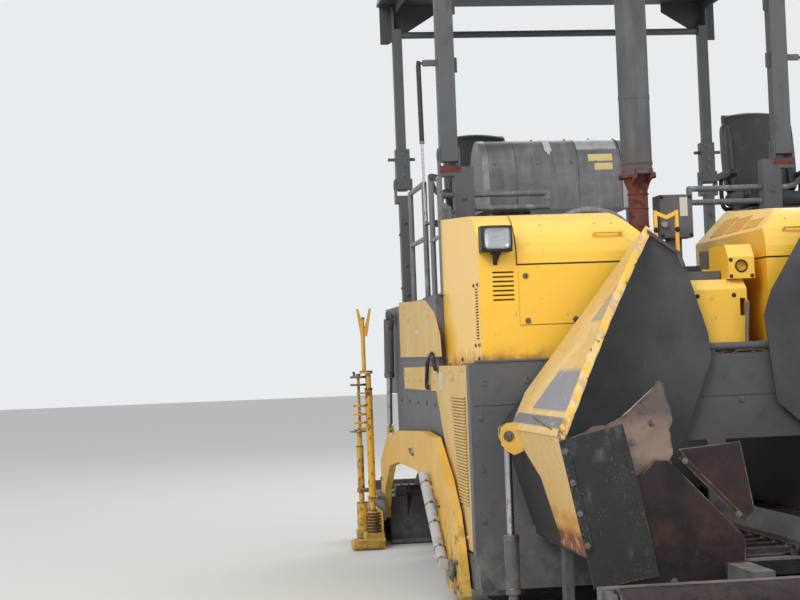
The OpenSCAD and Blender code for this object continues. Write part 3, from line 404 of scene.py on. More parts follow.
    "lampGlass": surface("#f2f4f5", 0.08, "bare_steel", transmission=0.9, ior=1.5, bumps=[(9, 1.2)]),
    # vacuum-coated reflector: a bright bowl broken into soft highlights
    "lampMirror": surface("#d5d7d9", 0.16, "bare_steel", metallic=1.0, bumps=[(26, 2.0)]),
    # injection-moulded acrylic lens: clear amber that glows at its rim
    "amberLens": surface("#e07a1c", 0.2, "yellow_paint", transmission=0.4, ior=1.49),
    # injection-moulded ABS, glossy: the only red on the console
    "redKnob": surface("#a3261f", 0.4, "black_seat"),
}


def guidePaint(s):
    # the extension's grey plate, with its outer guides and hanging post brush-painted yellow
    guide = {"bands": [((s, 0, 0), 1.366, 1.368), ("Z", 0.32, 0.34)]}
    return {**surfaces["greyEnamel"], "layers": surfaces["greyEnamel"]["layers"] + [
        layer("#d9a42f", rough=0.5, **guide),
        layer("#e3bd69", 200, 0.45, 0.7, most=0.7, **guide),
        layer("#7a5232", 40, 0.54, 0.64, rough=0.85, **guide),
        layer("#4d4238", 130, 0.52, 0.7, most=0.7, rough=0.85, **guide)]}


surfaces["guideEnamelRight"] = guidePaint(-1)
surfaces["guideEnamelLeft"] = guidePaint(1)
finishes = {name: finishedSurface(name, look) for name, look in surfaces.items()}
print("materials made")

finishOf = {
    "hoodEnamel": "hood_right hood_left hood_lid_right hood_lid_left centre_cowl",
    "armEnamel": "tow_arms end_gate_right end_gate_left",
    "chalkedEnamel": "side_panels",
    "wingEnamelRight": "wing_right",
    "wingEnamelLeft": "wing_left",
    "greyEnamel": "main_frame bulkhead hopper_floor track_frames push_beam body_shell platform roof_bases"
                  " roof_front_arms roof_rear_arms wing_barrel_right wing_barrel_left tow_brackets screed"
                  " lift_barrel_right lift_barrel_left auger_box deck_equipment",
    "guideEnamelRight": "extension_right",
    "guideEnamelLeft": "extension_left",
    "frontSteel": "front_plates",
    "scouredSteel": "conveyors auger_right auger_left push_roller_right push_roller_left",
    "rodChrome": "wing_rod_right wing_rod_left lift_rod_right lift_rod_left strut_rod_right strut_rod_left",
    "trackRubber": "track_right track_left",
    "dustyRubber": "wing_flap_right wing_flap_left hoses",
    "rustedIron": "exhaust_elbow",
    "engineIron": "engine_block",
    "exhaustPaint": "exhaust_pipe",
    "paintedTube": "handrails",
    "paleTube": "arm_tubes",
    "roofLaminate": "roof_panel",
    "consoleSheet": "console",
    "blackPlastic": "headlamps strut_barrel_right strut_barrel_left",
}
for finishName, nodeNames in finishOf.items():
    for nodeName in nodeNames.split():
        mesh = nodes[nodeName].data
        mesh.materials.clear()
        mesh.materials.append(finishes[finishName])
print("nodes finished")


def mm(x, y, z):
    return Vector((x, y, z)) / 1000


def mirrored(s, *points):
    return [(s * x, y, z) for x, y, z in points]


def axisTurn(direction):
    return Vector(direction).normalized().to_track_quat("Z", "Y").to_matrix().to_4x4()


def addShell(bm, rows, capStart=True, capEnd=True, ring=False):
    # quads between rows of points given in metres, capped at both ends or closed to a ring
    rings = [[bm.verts.new(p) for p in row] for row in rows]
    for low, high in zip(rings, rings[1:] + (rings[:1] if ring else [])):
        for k in range(len(low)):
            after = (k + 1) % len(low)
            bm.faces.new((low[k], low[after], high[after], high[k]))
    if capStart and not ring:
        bm.faces.new(rings[0][::-1])
    if capEnd and not ring:
        bm.faces.new(rings[-1])


def addBox(bm, corner, opposite):
    (x0, x1), (y0, y1), (z0, z1) = (sorted(pair) for pair in zip(mm(*corner), mm(*opposite)))
    addShell(bm, [[(x0, y0, z), (x1, y0, z), (x1, y1, z), (x0, y1, z)] for z in (z0, z1)])


def addRod(bm, start, end, radius, sides=20, endRadius=None):
    # a round or many-sided bar, tapered where endRadius is given
    start, end = Vector(start), Vector(end)
    way = (end - start).normalized()
    u = way.orthogonal().normalized()
    v = way.cross(u)
    turns = [math.tau * k / sides for k in range(sides)]
    addShell(bm, [[(at + (u * math.cos(a) + v * math.sin(a)) * reach) / 1000 for a in turns]
                  for at, reach in ((start, radius), (end, radius if endRadius is None else endRadius))])


def addBall(bm, middle, radius, squash=(1, 1, 1), sides=16, rows=8):
    at = Vector(middle)
    loops = []
    for i in range(rows + 1):
        b = math.pi * (i + 0.12) / (rows + 0.24) - math.pi / 2
        row = []
        for k in range(sides):
            a = math.tau * k / sides
            out = Vector((math.cos(b) * math.cos(a) * squash[0], math.cos(b) * math.sin(a) * squash[1],
                          math.sin(b) * squash[2]))
            row.append((at + out * radius) / 1000)
        loops.append(row)
    addShell(bm, loops)


# each part's height, foot, top and number of sides; the first three as shares of the bolt's radius
boltForm = {"washer": (0.3, 1.7, 1.7, 20), "head": (1.1, 1, 1, 6), "shank": (1.3, 0.55, 0.45, 12)}


def addBolt(bm, place, direction, radius=9):
    out = Vector(direction).normalized()
    at = Vector(place)
    for high, foot, top, count in boltForm.values():
        addRod(bm, at, at + out * radius * high, radius * foot, count, radius * top)


def circleSpots(middle, axis, reach, count, shift=0):
    # points on a circle round an axis along X or Z
    spots = []
    for k in range(count):
        turn = math.tau * (k + shift) / count
        u, v = reach * math.cos(turn), reach * math.sin(turn)
        spots.append([m + d for m, d in zip(middle, (0, u, v) if axis[0] else (u, v, 0))])
    return spots


def addBoltCircle(bm, middle, axis, reach, count, radius, shift=0):
    for spot in circleSpots(middle, axis, reach, count, shift):
        addBolt(bm, spot, axis, radius)


def addRing(bm, middle, direction, across, radius, sides=32, ringSides=10):
    turn = Matrix.Translation(mm(*middle)) @ axisTurn(direction)
    rows = []
    for i in range(sides):
        a = math.tau * i / sides
        row = []
        for j in range(ringSides):
            b = math.tau * j / ringSides
            reach = (across + radius * math.cos(b)) / 1000
            row.append(turn @ Vector((reach * math.cos(a), reach * math.sin(a), radius * math.sin(b) / 1000)))
        rows.append(row)
    addShell(bm, rows, ring=True)


def smoothPath(points, steps=6):
    # Catmull-Rom through the points
    path = []
    pts = [Vector(p) for p in points]
    pts = [pts[0] * 2 - pts[1]] + pts + [pts[-1] * 2 - pts[-2]]
    for i in range(1, len(pts) - 2):
        a, b, c, d = pts[i - 1:i + 3]
        for k in range(steps):
            t = k / steps
            path.append(0.5 * ((2 * b) + (c - a) * t + (2 * a - 5 * b + 4 * c - d) * t * t
                               + (3 * b - a - 3 * c + d) * t ** 3))
    path.append(pts[-2])
    return path


def addTube(bm, points, radius, sides=10, steps=6, ribs=0):
    # a round tube on a smooth path, corrugated where ribs is the height of its ribs
    path = smoothPath(points, steps) if steps else [Vector(p) for p in points]
    normal = None
    rows = []
    for i, point in enumerate(path):
        along = (path[min(i + 1, len(path) - 1)] - path[max(i - 1, 0)]).normalized()
        if normal is None:
            normal = along.orthogonal().normalized()
        else:
            normal = (normal - along * normal.dot(along)).normalized()
        side = along.cross(normal)
        reach = radius + (ribs if i % 2 else 0)
        rows.append([(point + (normal * math.cos(a) + side * math.sin(a)) * reach) / 1000
                     for a in (math.tau * k / sides for k in range(sides))])
    addShell(bm, rows)


def addPlate(bm, outline, start, thick, plane="XZ"):
    # an outline in millimetres, from start towards the rear or towards +X
    put = {"XZ": lambda p, q: (p[0], q, p[1]), "YZ": lambda p, q: (q, p[0], p[1])}[plane]
    addShell(bm, [[mm(*put(p, at)) for p in outline] for at in (start, start + thick)])


pillows = {"sideFull": 0.16, "topFull": 0.3, "channelDeep": 0.09, "channelWide": 0.22}


def pillowSpot(x, y, z, channels):
    # a cube's skin point drawn to a cushion: fuller in the middle, sewn across by channels
    side, top = pillows["sideFull"], pillows["topFull"]
    spot = Vector((x * math.sqrt(1 - side * y * y - side * z * z + 0.02 * y * y * z * z),
                   y * math.sqrt(1 - side * x * x - side * z * z + 0.02 * x * x * z * z),
                   z * math.sqrt(1 - top * x * x - top * y * y + 0.08 * x * x * y * y)))
    if channels:
        seam = math.exp(-(math.sin(math.pi * channels * y / 2) / pillows["channelWide"]) ** 2)
        spot.z *= 1 - pillows["channelDeep"] * seam * (1 - x * x)
    return spot


def addPillow(bm, middle, halves, cells=14, turn=None, channels=0):
    # a padded block round its middle, given by half its width, depth and height
    half, middle = mm(*halves), mm(*middle)
    known = {}

    def corner(*steps):
        if steps not in known:
            spot = pillowSpot(*(2 * k / cells - 1 for k in steps), channels)
            spot = Vector((spot.x * half.x, spot.y * half.y, spot.z * half.z))
            known[steps] = bm.verts.new(middle + ((turn @ spot) if turn else spot))
        return known[steps]

    for axis in range(3):
        for side in (0, cells):
            for i in range(cells):
                for j in range(cells):
                    quad = []
                    for a, b in ((i, j), (i + 1, j), (i + 1, j + 1), (i, j + 1)):
                        steps = [a, b]
                        steps.insert(axis, side)
                        quad.append(corner(*steps))
                    bm.faces.new(quad)


smoothing = {"sharpAngle": 35, "bevelSegments": 2}
sides = {"right": -1, "left": 1}


def makePiece(name, body, finish, fill, slotName=None, smooth=True, bevel=0):
    slotName = slotName or surfaces[finish]["slot"]
    mesh = bpy.data.meshes.new(name)
    bm = bmesh.new()
    fill(bm)
    bmesh.ops.recalc_face_normals(bm, faces=bm.faces)
    bm.to_mesh(mesh)
    bm.free()
    piece = bpy.data.objects.new(name, mesh)
    bpy.context.collection.objects.link(piece)
    mesh.materials.append(finishes[finish])
    if smooth:
        for face in mesh.polygons:
            face.use_smooth = True
        mesh.set_sharp_from_angle(angle=math.radians(smoothing["sharpAngle"]))
    if bevel:
        rounding = piece.modifiers.new("rounding", "BEVEL")
        rounding.width = bevel / 1000
        rounding.segments = smoothing["bevelSegments"]
        rounding.limit_method = "ANGLE"
    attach(piece, body)
    return piece


def madeOnce(name, body, finish, **shading):
    # the function that follows fills one piece
    def build(fill):
        makePiece(name, body, finish, fill, **shading)
        return fill
    return build


def madeMirrored(name, body, finish, **shading):
    # the function that follows fills one piece, first its right-hand half and then its left-hand half
    def build(fill):
        makePiece(name, body, finish, lambda bm: [fill(bm, s) for s in sides.values()], **shading)
        return fill
    return build


def madeTwice(name, body, finish, **shading):
    # the function that follows fills a piece on the right-hand body and one on the left-hand body
    def build(fill):
        for side, s in sides.items():
            makePiece(name + "_" + side, body + "_" + side, finish, lambda bm: fill(bm, s), **shading)
        return fill
    return build


hoods = {"frontY": -1250, "sideX": 1195, "boltRadius": 9, "screwSpots": ((953, 1735), (949, 1505), (700, 1505)),
         "footBolts": (-1180, -640, -100), "sealRadius": 4}


@madeMirrored("hoodBolts", "tractor", "zincSteel")
def hoodBolts(bm, s):
    for x, z in hoods["screwSpots"]:
        addBolt(bm, (s * x, hoods["frontY"], z), forward, hoods["boltRadius"])
    for z in (1390, 1700):
        for y in (-1198, -1085):
            addBolt(bm, (s * hoods["sideX"], y, z), (s, 0, 0), 7)
    for y in hoods["footBolts"]:
        addBolt(bm, (s * hoods["sideX"], y, 1320), (s, 0, 0), 8)


@madeMirrored("hoodSeals", "tractor", "blackPlastic", slotName="black_rubber")
def hoodSeals(bm, s):
    # rubber lip between lid and body, and the dark gap round the access panel
    front = ((992, -1244, 1793), (700, -1247, 1792), (400, -1244, 1793))
    side = ((996, -1240, 1796), (997, -1100, 1794), (997, -500, 1794), (997, -60, 1794))
    for lip in (front, side):
        addTube(bm, mirrored(s, *lip), hoods["sealRadius"], 8, 3)
    addBox(bm, (s * 992, -1249, 1482), (s * 336, -1246, 1484))


@madeTwice("lidTrim", "hood_lid", "zincSteel")
def lidTrim(bm, s):
    # rivets on the front slope, and the hinges at the rear edge
    for x in (560, 470, 850):
        addBall(bm, (s * x, -1158, 1998), 9, (1, 1, 0.6))
    for x in (900, 600):
        addRod(bm, (s * (x - 34), -34, 2131), (s * (x + 34), -34, 2131), 13, 24)
        addBox(bm, (s * x - 30, -120, 2131), (s * x + 30, -34, 2141))


lamps = {"middleX": 1110, "middleZ": 1926, "frontY": -1326, "wide": 146, "tall": 118, "corner": 26,
         "bezelRadius": 8, "cableRadius": 6, "bowl": ((2, 1.0), (8, 0.8), (14, 0.55), (17, 0.25))}


def roundedLoop(middleX, middleZ, wide, tall, corner, count=6):
    loop = []
    for cx, cz, a0 in ((1, 1, 0), (-1, 1, 90), (-1, -1, 180), (1, -1, 270)):
        for k in range(count + 1):
            a = math.radians(a0 + 90 * k / count)
            loop.append((middleX + cx * (wide / 2 - corner) + corner * math.cos(a),
                         middleZ + cz * (tall / 2 - corner) + corner * math.sin(a)))
    return loop


def upright(loop, y):
    return [mm(x, y, z) for x, z in loop]


def lampLoop(s, inset, corner, share=1):
    return roundedLoop(s * lamps["middleX"], lamps["middleZ"], (lamps["wide"] - inset) * share,
                       (lamps["tall"] - inset) * share, corner)


@madeMirrored("lampBezels", "tractor", "blackPlastic")
def lampBezels(bm, s):
    # frame round the glass, foot and cable
    loop = lampLoop(s, 0, lamps["corner"])
    addTube(bm, [(x, lamps["frontY"] - 6, z) for x, z in loop + loop[:1]], lamps["bezelRadius"], 10, 0)
    addBox(bm, (s * lamps["middleX"] - 26, -1296, 1846), (s * lamps["middleX"] + 26, -1270, 1860))
    cable = ((1100, -1258, 1880), (1090, -1262, 1850), (1100, -1256, 1820), (1104, -1254, 1800))
    addTube(bm, mirrored(s, *cable), lamps["cableRadius"], 10)


@madeMirrored("lampMirrors", "tractor", "lampMirror")
def lampMirrors(bm, s):
    rows = [upright(lampLoop(s, 12, (lamps["corner"] - 4) * share, share), lamps["frontY"] - 19 + depth)
            for depth, share in lamps["bowl"]]
    addShell(bm, rows, capStart=False)


@madeMirrored("lampLenses", "tractor", "lampGlass")
def lampLenses(bm, s):
    outer, inner = lampLoop(s, 8, lamps["corner"] - 3), lampLoop(s, 8, 10, 0.5)
    addShell(bm, [upright(loop, lamps["frontY"] - 17 + depth)
                  for loop, depth in ((inner, -5), (outer, 0), (outer, 4), (inner, -2))])


print("hoods and lamps dressed")

wings = {"hingeX": 960, "hingeZ": 450, "crease": (-1125, 975), "tip": (-336, 1955),
         "front": -2650, "rear": -1340, "leftDown": 15, "wall": 34, "boltRadius": 8, "pinRadius": 15,
         "edgeSteps": 40,
         "bolts": ((-1103, 911), (-1076, 776), (-1050, 643), (-1024, 506)),
         "lug": [(-1098, 868), (-1146, 851), (-1180, 872), (-1206, 902), (-1214, 944), (-1206, 984),
                 (-1178, 1004), (-1146, 1008), (-1112, 992)],
         "wearPlate": [(-1016, 650), (-1112, 950), (-1000, 985), (-960, 1010), (-905, 1012), (-863, 1030),
                       (-800, 1062), (-740, 1118), (-700, 1150), (-668, 1196), (-650, 1199), (-636, 1160),
                       (-628, 1110), (-612, 1075), (-606, 1010), (-622, 985), (-616, 930), (-608, 880),
                       (-630, 846), (-700, 800), (-763, 752)]}
slopeLength = math.dist(wings["crease"], wings["tip"])


def wingSpot(s, x, y, z):
    # a point given on the upright right wing, moved to where that side's wing stands
    down = math.radians(wings["leftDown"]) if s > 0 else 0
    u, v = x + wings["hingeX"], z - wings["hingeZ"]
    x = -wings["hingeX"] + u * math.cos(down) - v * math.sin(down)
    z = wings["hingeZ"] + u * math.sin(down) + v * math.cos(down)
    return (-s * x, y, z)


def slopeSpot(s, y, along, out):
    (cx, cz), (tx, tz) = wings["crease"], wings["tip"]
    ux, uz = (tx - cx) / slopeLength, (tz - cz) / slopeLength
    return wingSpot(s, cx + ux * along - uz * out, y, cz + uz * along + ux * out)


def addWingPlate(bm, s, outline, y, thick):
    addPlate(bm, [wingSpot(s, x, y, z)[::2] for x, z in outline], y, thick)


@madeTwice("wingEdge", "wing", "chippedEdge")
def wingEdge(bm, s):
    # the folded edge along the slanting top of the wing's wall, slightly wavy
    steps, wall = wings["edgeSteps"], wings["wall"]
    section = ((-9, 8.5), (0, 9.5), (3, 6), (3, -wall + 3), (0, -wall), (-12, -wall), (-14, -wall + 3),
               (-14, -4))
    rows = []
    for i in range(steps + 1):
        k = i / steps
        y = wings["front"] + (wings["rear"] - wings["front"]) * k + {0: 3, steps: -3}.get(i, 0)
        top = slopeLength * (0.86 * k + 0.14 * k ** 3) + 9
        wave = 1.2 * math.sin(i * 1.7) + 0.8 * math.sin(i * 0.6)
        rows.append([mm(*slopeSpot(s, y, top + a, b + wave)) for a, b in section])
    addShell(bm, rows)


@madeTwice("wingLug", "wing", "armEnamel", bevel=1)
def wingLug(bm, s):
    # drop-shaped cheek in front of the cylinder's lug
    addWingPlate(bm, s, wings["lug"], -1749, 4)


@madeTwice("wingBolts", "wing", "zincSteel")
def wingBolts(bm, s):
    # bolts of the front lip, the cylinder's pin with its washers, the hinge tube's end plug and a cable
    for x, z in wings["bolts"]:
        addBolt(bm, wingSpot(s, x, -2672.4, z), forward, wings["boltRadius"])
    for y, way in ((-1750, -1), (-1670, 1)):
        addBolt(bm, wingSpot(s, -1170, y, 944), (0, way, 0), wings["pinRadius"])
    addRod(bm, wingSpot(s, -960, -2594, 450), wingSpot(s, -960, -2597, 450), 19)
    addTube(bm, [wingSpot(s, -1118 + 8 * k, -2480 + 170 * k, 1000 + 13 * k) for k in range(4)], 3, 6, 2)


@madeTwice("wingWearPlate", "wing", "tanSteel", bevel=1)
def wingWearPlate(bm, s):
    # bright plate with a torn upper edge, screwed over the wing's bracket
    addWingPlate(bm, s, wings["wearPlate"], -2604, 3.5)
    for x, z in ((-900, 985), (-790, 930), (-700, 1010)):
        addBolt(bm, wingSpot(s, x, -2604, z), forward, wings["boltRadius"])


print("wings dressed")

frontPlates = {"upperBolt": 8, "lowerBolt": 9, "lowerBolts": ((860, 600), (860, 420), (640, 330))}


@madeMirrored("frontBolts", "tractor", "zincSteel")
def frontBolts(bm, s):
    for x, z in ((-575, 846), (-345, 606)):
        addBolt(bm, (s * -x, -2654, z), forward, frontPlates["upperBolt"])
    for x, z in frontPlates["lowerBolts"]:
        addBolt(bm, (s * x, -2640, z), forward, frontPlates["lowerBolt"])


bulkheadFit = {"rodX": 190, "rodLow": 1330, "rodTop": 1560, "rodRadius": 11, "boltRadius": 10,
               "frontY": -1300, "welds": 24, "weldPitch": 100}


@madeOnce("bulkheadBolts", "tractor", "zincSteel")
def bulkheadBolts(bm):
    for s in sides.values():
        for x, z in ((143, 1060), (420, 1200), (700, 1200), (980, 1200), (1200, 1200)):
            addBolt(bm, (s * x, bulkheadFit["frontY"], z), forward, bulkheadFit["boltRadius"])
        for z in (500, 760, 1020):
            addBolt(bm, (s * 1225, bulkheadFit["frontY"], z), forward, 9)
    top = (bulkheadFit["rodX"] + 14, -1290, bulkheadFit["rodTop"])
    addRod(bm, (bulkheadFit["rodX"], -1290, bulkheadFit["rodLow"]), top, bulkheadFit["rodRadius"])
    addBall(bm, top, bulkheadFit["rodRadius"])


@madeOnce("bulkheadLedge", "tractor", "greyEnamel", bevel=1.5)
def bulkheadLedge(bm):
    # folded ledge over the joint of the two wall sheets, with welds along the foot of the bar
    addPlate(bm, [(-1298, 1310), (-1252, 1310), (-1252, 1322), (-1276, 1326), (-1290, 1344), (-1298, 1342)],
             120, 160, "YZ")
    for x0, x1 in ((-1240, -570), (560, 1240)):
        addPlate(bm, [(-1306, 1300), (-1262, 1300), (-1262, 1312), (-1298, 1313), (-1306, 1308)],
                 x0, x1 - x0, "YZ")
    for x in (-505, -5, 495):
        addBox(bm, (x - 18, -1301, 1296), (x + 28, -1296, 1304))
    for k in range(bulkheadFit["welds"]):
        addBall(bm, (-1180 + k * bulkheadFit["weldPitch"], -1300.5, 1302), 5, (3.5, 0.6, 0.8))


print("bulkhead dressed")

covers = {"lowFace": 1245, "highFace": 1247, "screw": 8, "highScrew": 6,
          "lowScrews": ((-1180, 1262), (-900, 1262), (-500, 1262), (-180, 1262), (-1180, 700), (-1180, 420),
                        (-900, 380), (100, 1200), (700, 1200), (1300, 1200), (1440, 1240)),
          "highScrews": ((-110, 1380), (400, 1640), (1400, 1680), (1600, 1400)),
          "latches": ((1245, -560, 1225), (1247, 250, 1600), (1247, 1150, 1600)),
          "blades": 35, "bladePitch": 16.5, "bladeTop": 1120}


@madeMirrored("coverScrews", "tractor", "chalkedEnamel", bevel=1)
def coverScrews(bm, s):
    # painted screws, and quarter-turn latches with their plates
    for y, z in covers["lowScrews"]:
        addBolt(bm, (s * covers["lowFace"], y, z), (s, 0, 0), covers["screw"])
    for y, z in covers["highScrews"]:
        addBolt(bm, (s * covers["highFace"], y, z), (s, 0, 0), covers["highScrew"])
    for x, y, z in mirrored(s, *covers["latches"]):
        addBox(bm, (x, y - 45, z - 22), (x + s * 3, y + 45, z + 22))
        addRod(bm, (x, y, z), (x + s * 9, y, z), 15)
        addBox(bm, (x, y - 5, z - 14), (x + s * 14, y + 5, z + 14))


@madeMirrored("louvreBlades", "tractor", "chalkedEnamel", smooth=False)
def louvreBlades(bm, s):
    # the pressed blades over the side cover's slots, each a little shorter than the one above
    section = ((5, 0), (3, 6.5), (-5, 7.5), (-7, 6.5), (2, 0))
    for i in range(covers["blades"]):
        z = covers["bladeTop"] - i * covers["bladePitch"]
        addShell(bm, [[mm(s * (1244.5 + out), y, z + up) for up, out in section]
                      for y in (-968, -492 - i * 5.5)])


plates = {"boxes": (
    ((-1249.5, -190, 1148), (-1245.2, -95, 1262)), ((1245.2, -190, 1148), (1249.5, -95, 1262)),
    ((84, -561.5, 2076), (128, -559.8, 2182)), ((-1246.7, -1150, 1213), (-1245.2, -1080, 1237)),
    ((-1248.7, 700, 1488), (-1247.2, 860, 1512)))}


@madeOnce("blankPlates", "tractor", "blankLabel", smooth=False)
def blankPlates(bm):
    # empty plates where labels sit
    for corner, opposite in plates["boxes"]:
        addBox(bm, corner, opposite)


@madeMirrored("hoseClips", "tractor", "zincSteel", bevel=1)
def hoseClips(bm, s):
    # clips with their feet, and the rings where the hose goes into the cover
    for y, z, lean in ((20, 1330, 0.2), (160, 1348, -0.2)):
        addRing(bm, (s * 1264, y, z), (0, 1, lean), 13, 2.5, 20, 6)
        addBox(bm, (s * 1248, y - 9, z - 30), (s * 1262, y + 9, z - 12))
    for y, z in ((-60, 1262), (300, 1158)):
        addRod(bm, (s * 1246, y, z), (s * 1254, y, z), 17, 24)


print("side covers dressed")

floorFit = {"links": 16, "linkPitch": 82.5, "slats": 8, "slatPitch": 165, "boltRadius": 7, "welds": 52,
            "weldPitch": 25}


@madeMirrored("chainLinks", "tractor", "scouredSteel", smooth=False)
def chainLinks(bm, s):
    # side plates of the conveyor chains where they lie open in the hopper
    for x in (534, 86):
        for k in range(floorFit["links"]):
            y = -2604 + k * floorFit["linkPitch"]
            addBox(bm, (s * x - 4, y - 38, 437), (s * x + 4, y + 38, 458))


@madeMirrored("slatBolts", "tractor", "zincSteel")
def slatBolts(bm, s):
    for k in range(floorFit["slats"]):
        for x in (515, 108):
            addBolt(bm, (s * x, -2570 + k * floorFit["slatPitch"], 450), upward, floorFit["boltRadius"])


@madeMirrored("floorWelds", "tractor", "scouredSteel")
def floorWelds(bm, s):
    # weld beads along the floor's edge rails and the ridge between the lanes
    for k in range(floorFit["welds"]):
        y = -2610 + k * floorFit["weldPitch"]
        addBall(bm, (s * 573, y, 426), 4, (1, 3.2, 0.8))
        addBall(bm, (s * 60, y, 409), 3.5, (1, 3.2, 0.8))


print("hopper floor dressed")


tracks = {"outer": 1040, "axleZ": 330, "idlerY": -850, "sprocketY": 1350, "rollers": 6, "rollerZ": 165.4,
          "rollerPitch": 310, "pads": 14, "padRun": 2200, "frameX": 990,
          "frameBolts": (-940, -700, -380, -80, 230, 540, 850, 1120)}


@madeMirrored("wheelCaps", "tractor", "greyEnamel")
def wheelCaps(bm, s):
    # hub covers of the rollers, the idler and the sprocket
    x, out = s * tracks["outer"], (s, 0, 0)
    for k in range(tracks["rollers"]):
        y, z = -500 + k * tracks["rollerPitch"], tracks["rollerZ"]
        addRod(bm, (x, y, z), (x + s * 12, y, z), 36, 24, 30)
        addBoltCircle(bm, (x + s * 3, y, z), out, 30, 4, 4, 0.5)
    y, z = tracks["idlerY"], tracks["axleZ"]
    addRod(bm, (x, y, z), (x + s * 14, y, z), 62, 32, 52)
    addRod(bm, (x + s * 14, y, z), (x + s * 22, y, z), 30, 24, 26)
    addBoltCircle(bm, (x + s * 8, y, z), out, 44, 6, 6)
    y = tracks["sprocketY"]
    addRod(bm, (x, y, z), (x + s * 16, y, z), 108, 40, 96)
    addRod(bm, (x + s * 16, y, z), (x + s * 34, y, z), 58, 32, 50)
    addBoltCircle(bm, (x + s * 12, y, z), out, 84, 12, 7)
    addBall(bm, (x + s * 34, y, z), 13, (0.7, 1, 1))


@madeMirrored("trackFrameBolts", "tractor", "zincSteel")
def trackFrameBolts(bm, s):
    # bolts, and the grease fitting of the track's tensioner under its cover
    x = s * tracks["frameX"]
    for y in tracks["frameBolts"]:
        for z in (285, 372):
            addBolt(bm, (x, y, z), (s, 0, 0), 9)
    addBox(bm, (x, -640, 300), (x + s * 6, -540, 356))
    addBall(bm, (x + s * 8, -590, 328), 9)


@madeMirrored("padBolts", "tractor", "zincSteel")
def padBolts(bm, s):
    for k in range(tracks["pads"]):
        y = tracks["idlerY"] + (k + 0.5) * tracks["padRun"] / tracks["pads"]
        for x in (820, 1040):
            addRod(bm, (s * x, y, 660), (s * x, y, 662), 9, 6)


towing = {"capX": 1332, "pinY": -800, "pinZ": 200, "armX": 1308, "tubeX": 1342,
          "clamps": (0.12, 0.4, 0.62, 0.88), "notches": 9, "notchPitch": 14,
          "armBolts": ((-900, 250), (-900, 120), (2500, 300), (2500, 480))}


@madeMirrored("towCaps", "tractor", "zincSteel")
def towCaps(bm, s):
    x, y, z = s * towing["capX"], towing["pinY"], towing["pinZ"]
    addRod(bm, (x, y, z), (x + s * 6, y, z), 52, 36, 48)
    addBoltCircle(bm, (x + s * 2, y, z), (s, 0, 0), 40, 6, 6)
    addBall(bm, (x + s * 6, y, z), 7, (0.8, 1, 1))


@madeMirrored("armFittings", "screed", "zincSteel")
def armFittings(bm, s):
    # clamps of the sensor tubes, bolts of the arm, a scale of plain notches and the lifting handles
    x = s * towing["armX"]
    for t in towing["clamps"]:
        y, z = -560 + 600 * t, 230 + 425 * t
        addRing(bm, (s * towing["tubeX"], y, z), (0, 600, 425), 31.5, 3, 28, 8)
        addBolt(bm, (s * towing["tubeX"], y - 20, z + 28), (0, -425, 600), 5)
    for y, z in towing["armBolts"]:
        addBolt(bm, (x, y, z), (s, 0, 0), 10)
    for k in range(towing["notches"]):
        z = 240 + k * towing["notchPitch"]
        addBox(bm, (x, -1005, z), (x + s * 3, -985 + 8 * (k % 2), z + 3))
    for y, z in ((-330, 500), (700, 740)):
        addTube(bm, [(x, y, z), (x + s * 14, y, z + 6), (x + s * 18, y + 60, z + 26),
                     (x + s * 14, y + 120, z + 30), (x, y + 124, z + 30)], 7, 10, 5)


print("running gear dressed")

exhausts = {"x": -165, "y": -600, "joint": 2310, "top": 3810, "radius": 86, "elbowRadius": 55}


@madeOnce("exhaustTrim", "exhaust_pipe", "exhaustPaint")
def exhaustTrim(bm):
    # rolled rims, the clamped bands, flange bolts, lifting eye and the latch that holds the standing pipe
    x, y, joint, radius = (exhausts[key] for key in ("x", "y", "joint", "radius"))
    addRing(bm, (x, y, exhausts["top"] - 2), upward, radius - 2.5, 5, 56, 10)
    addRing(bm, (x, y, joint + 60), upward, radius + 1, 4, 56, 8)
    for z in (joint + 52, joint + 420):
        addRod(bm, (x, y, z), (x, y, z + 22), radius + 2, 56)
    addBoltCircle(bm, (x, y, joint + 5), upward, 96, 8, 5, 0.5)
    addTube(bm, [(x - 20, y - 86, 3520), (x - 20, y - 112, 3530), (x, y - 122, 3532), (x + 20, y - 112, 3530),
                 (x + 20, y - 86, 3520)], 5, 10, 5)
    addBox(bm, (x - 9, y + 84, 2318), (x + 9, y + 118, 2330))


@madeOnce("exhaustSeams", "tractor", "rustedIron")
def exhaustSeams(bm):
    x, y = exhausts["x"], exhausts["y"]
    for z, proud in ((2020, 0.5), (2120, 0.5), (2200, 3)):
        addRing(bm, (x, y, z), upward, exhausts["elbowRadius"] + proud, 3.5, 40, 8)
    addBoltCircle(bm, (x, y, exhausts["joint"] - 20), downward, 94, 8, 5, 0.5)


cowls = {"hole": (196, -1240, 1752), "bolts": (
    (-50, -1250, 1330, 7), (190, -1250, 1330, 7), (-50, -1250, 1600, 7), (145, -1250, 1600, 7),
    (140, -1240, 1700, 6), (252, -1240, 1700, 6), (140, -1240, 1785, 6),
    (-103, -720, 1830, 9), (-103, -720, 1990, 9), (17, -720, 1830, 9), (17, -720, 1990, 9),
    (-20, -560, 1970, 6), (144, -560, 1970, 6), (-20, -560, 2184, 6), (144, -560, 2184, 6)),
    "louvreRows": ((-1060, 6), (-770, 10), (-480, 12)), "louvrePitch": 12, "louvreLong": 240}


@madeOnce("cowlFittings", "tractor", "blackPlastic")
def cowlFittings(bm):
    # the hole's rubber ring and the cap bolts
    addRing(bm, cowls["hole"], (0, 1, 0), 30, 5, 36, 10)
    for x, y, z, radius in cowls["bolts"]:
        addBolt(bm, (x, y, z), forward, radius)


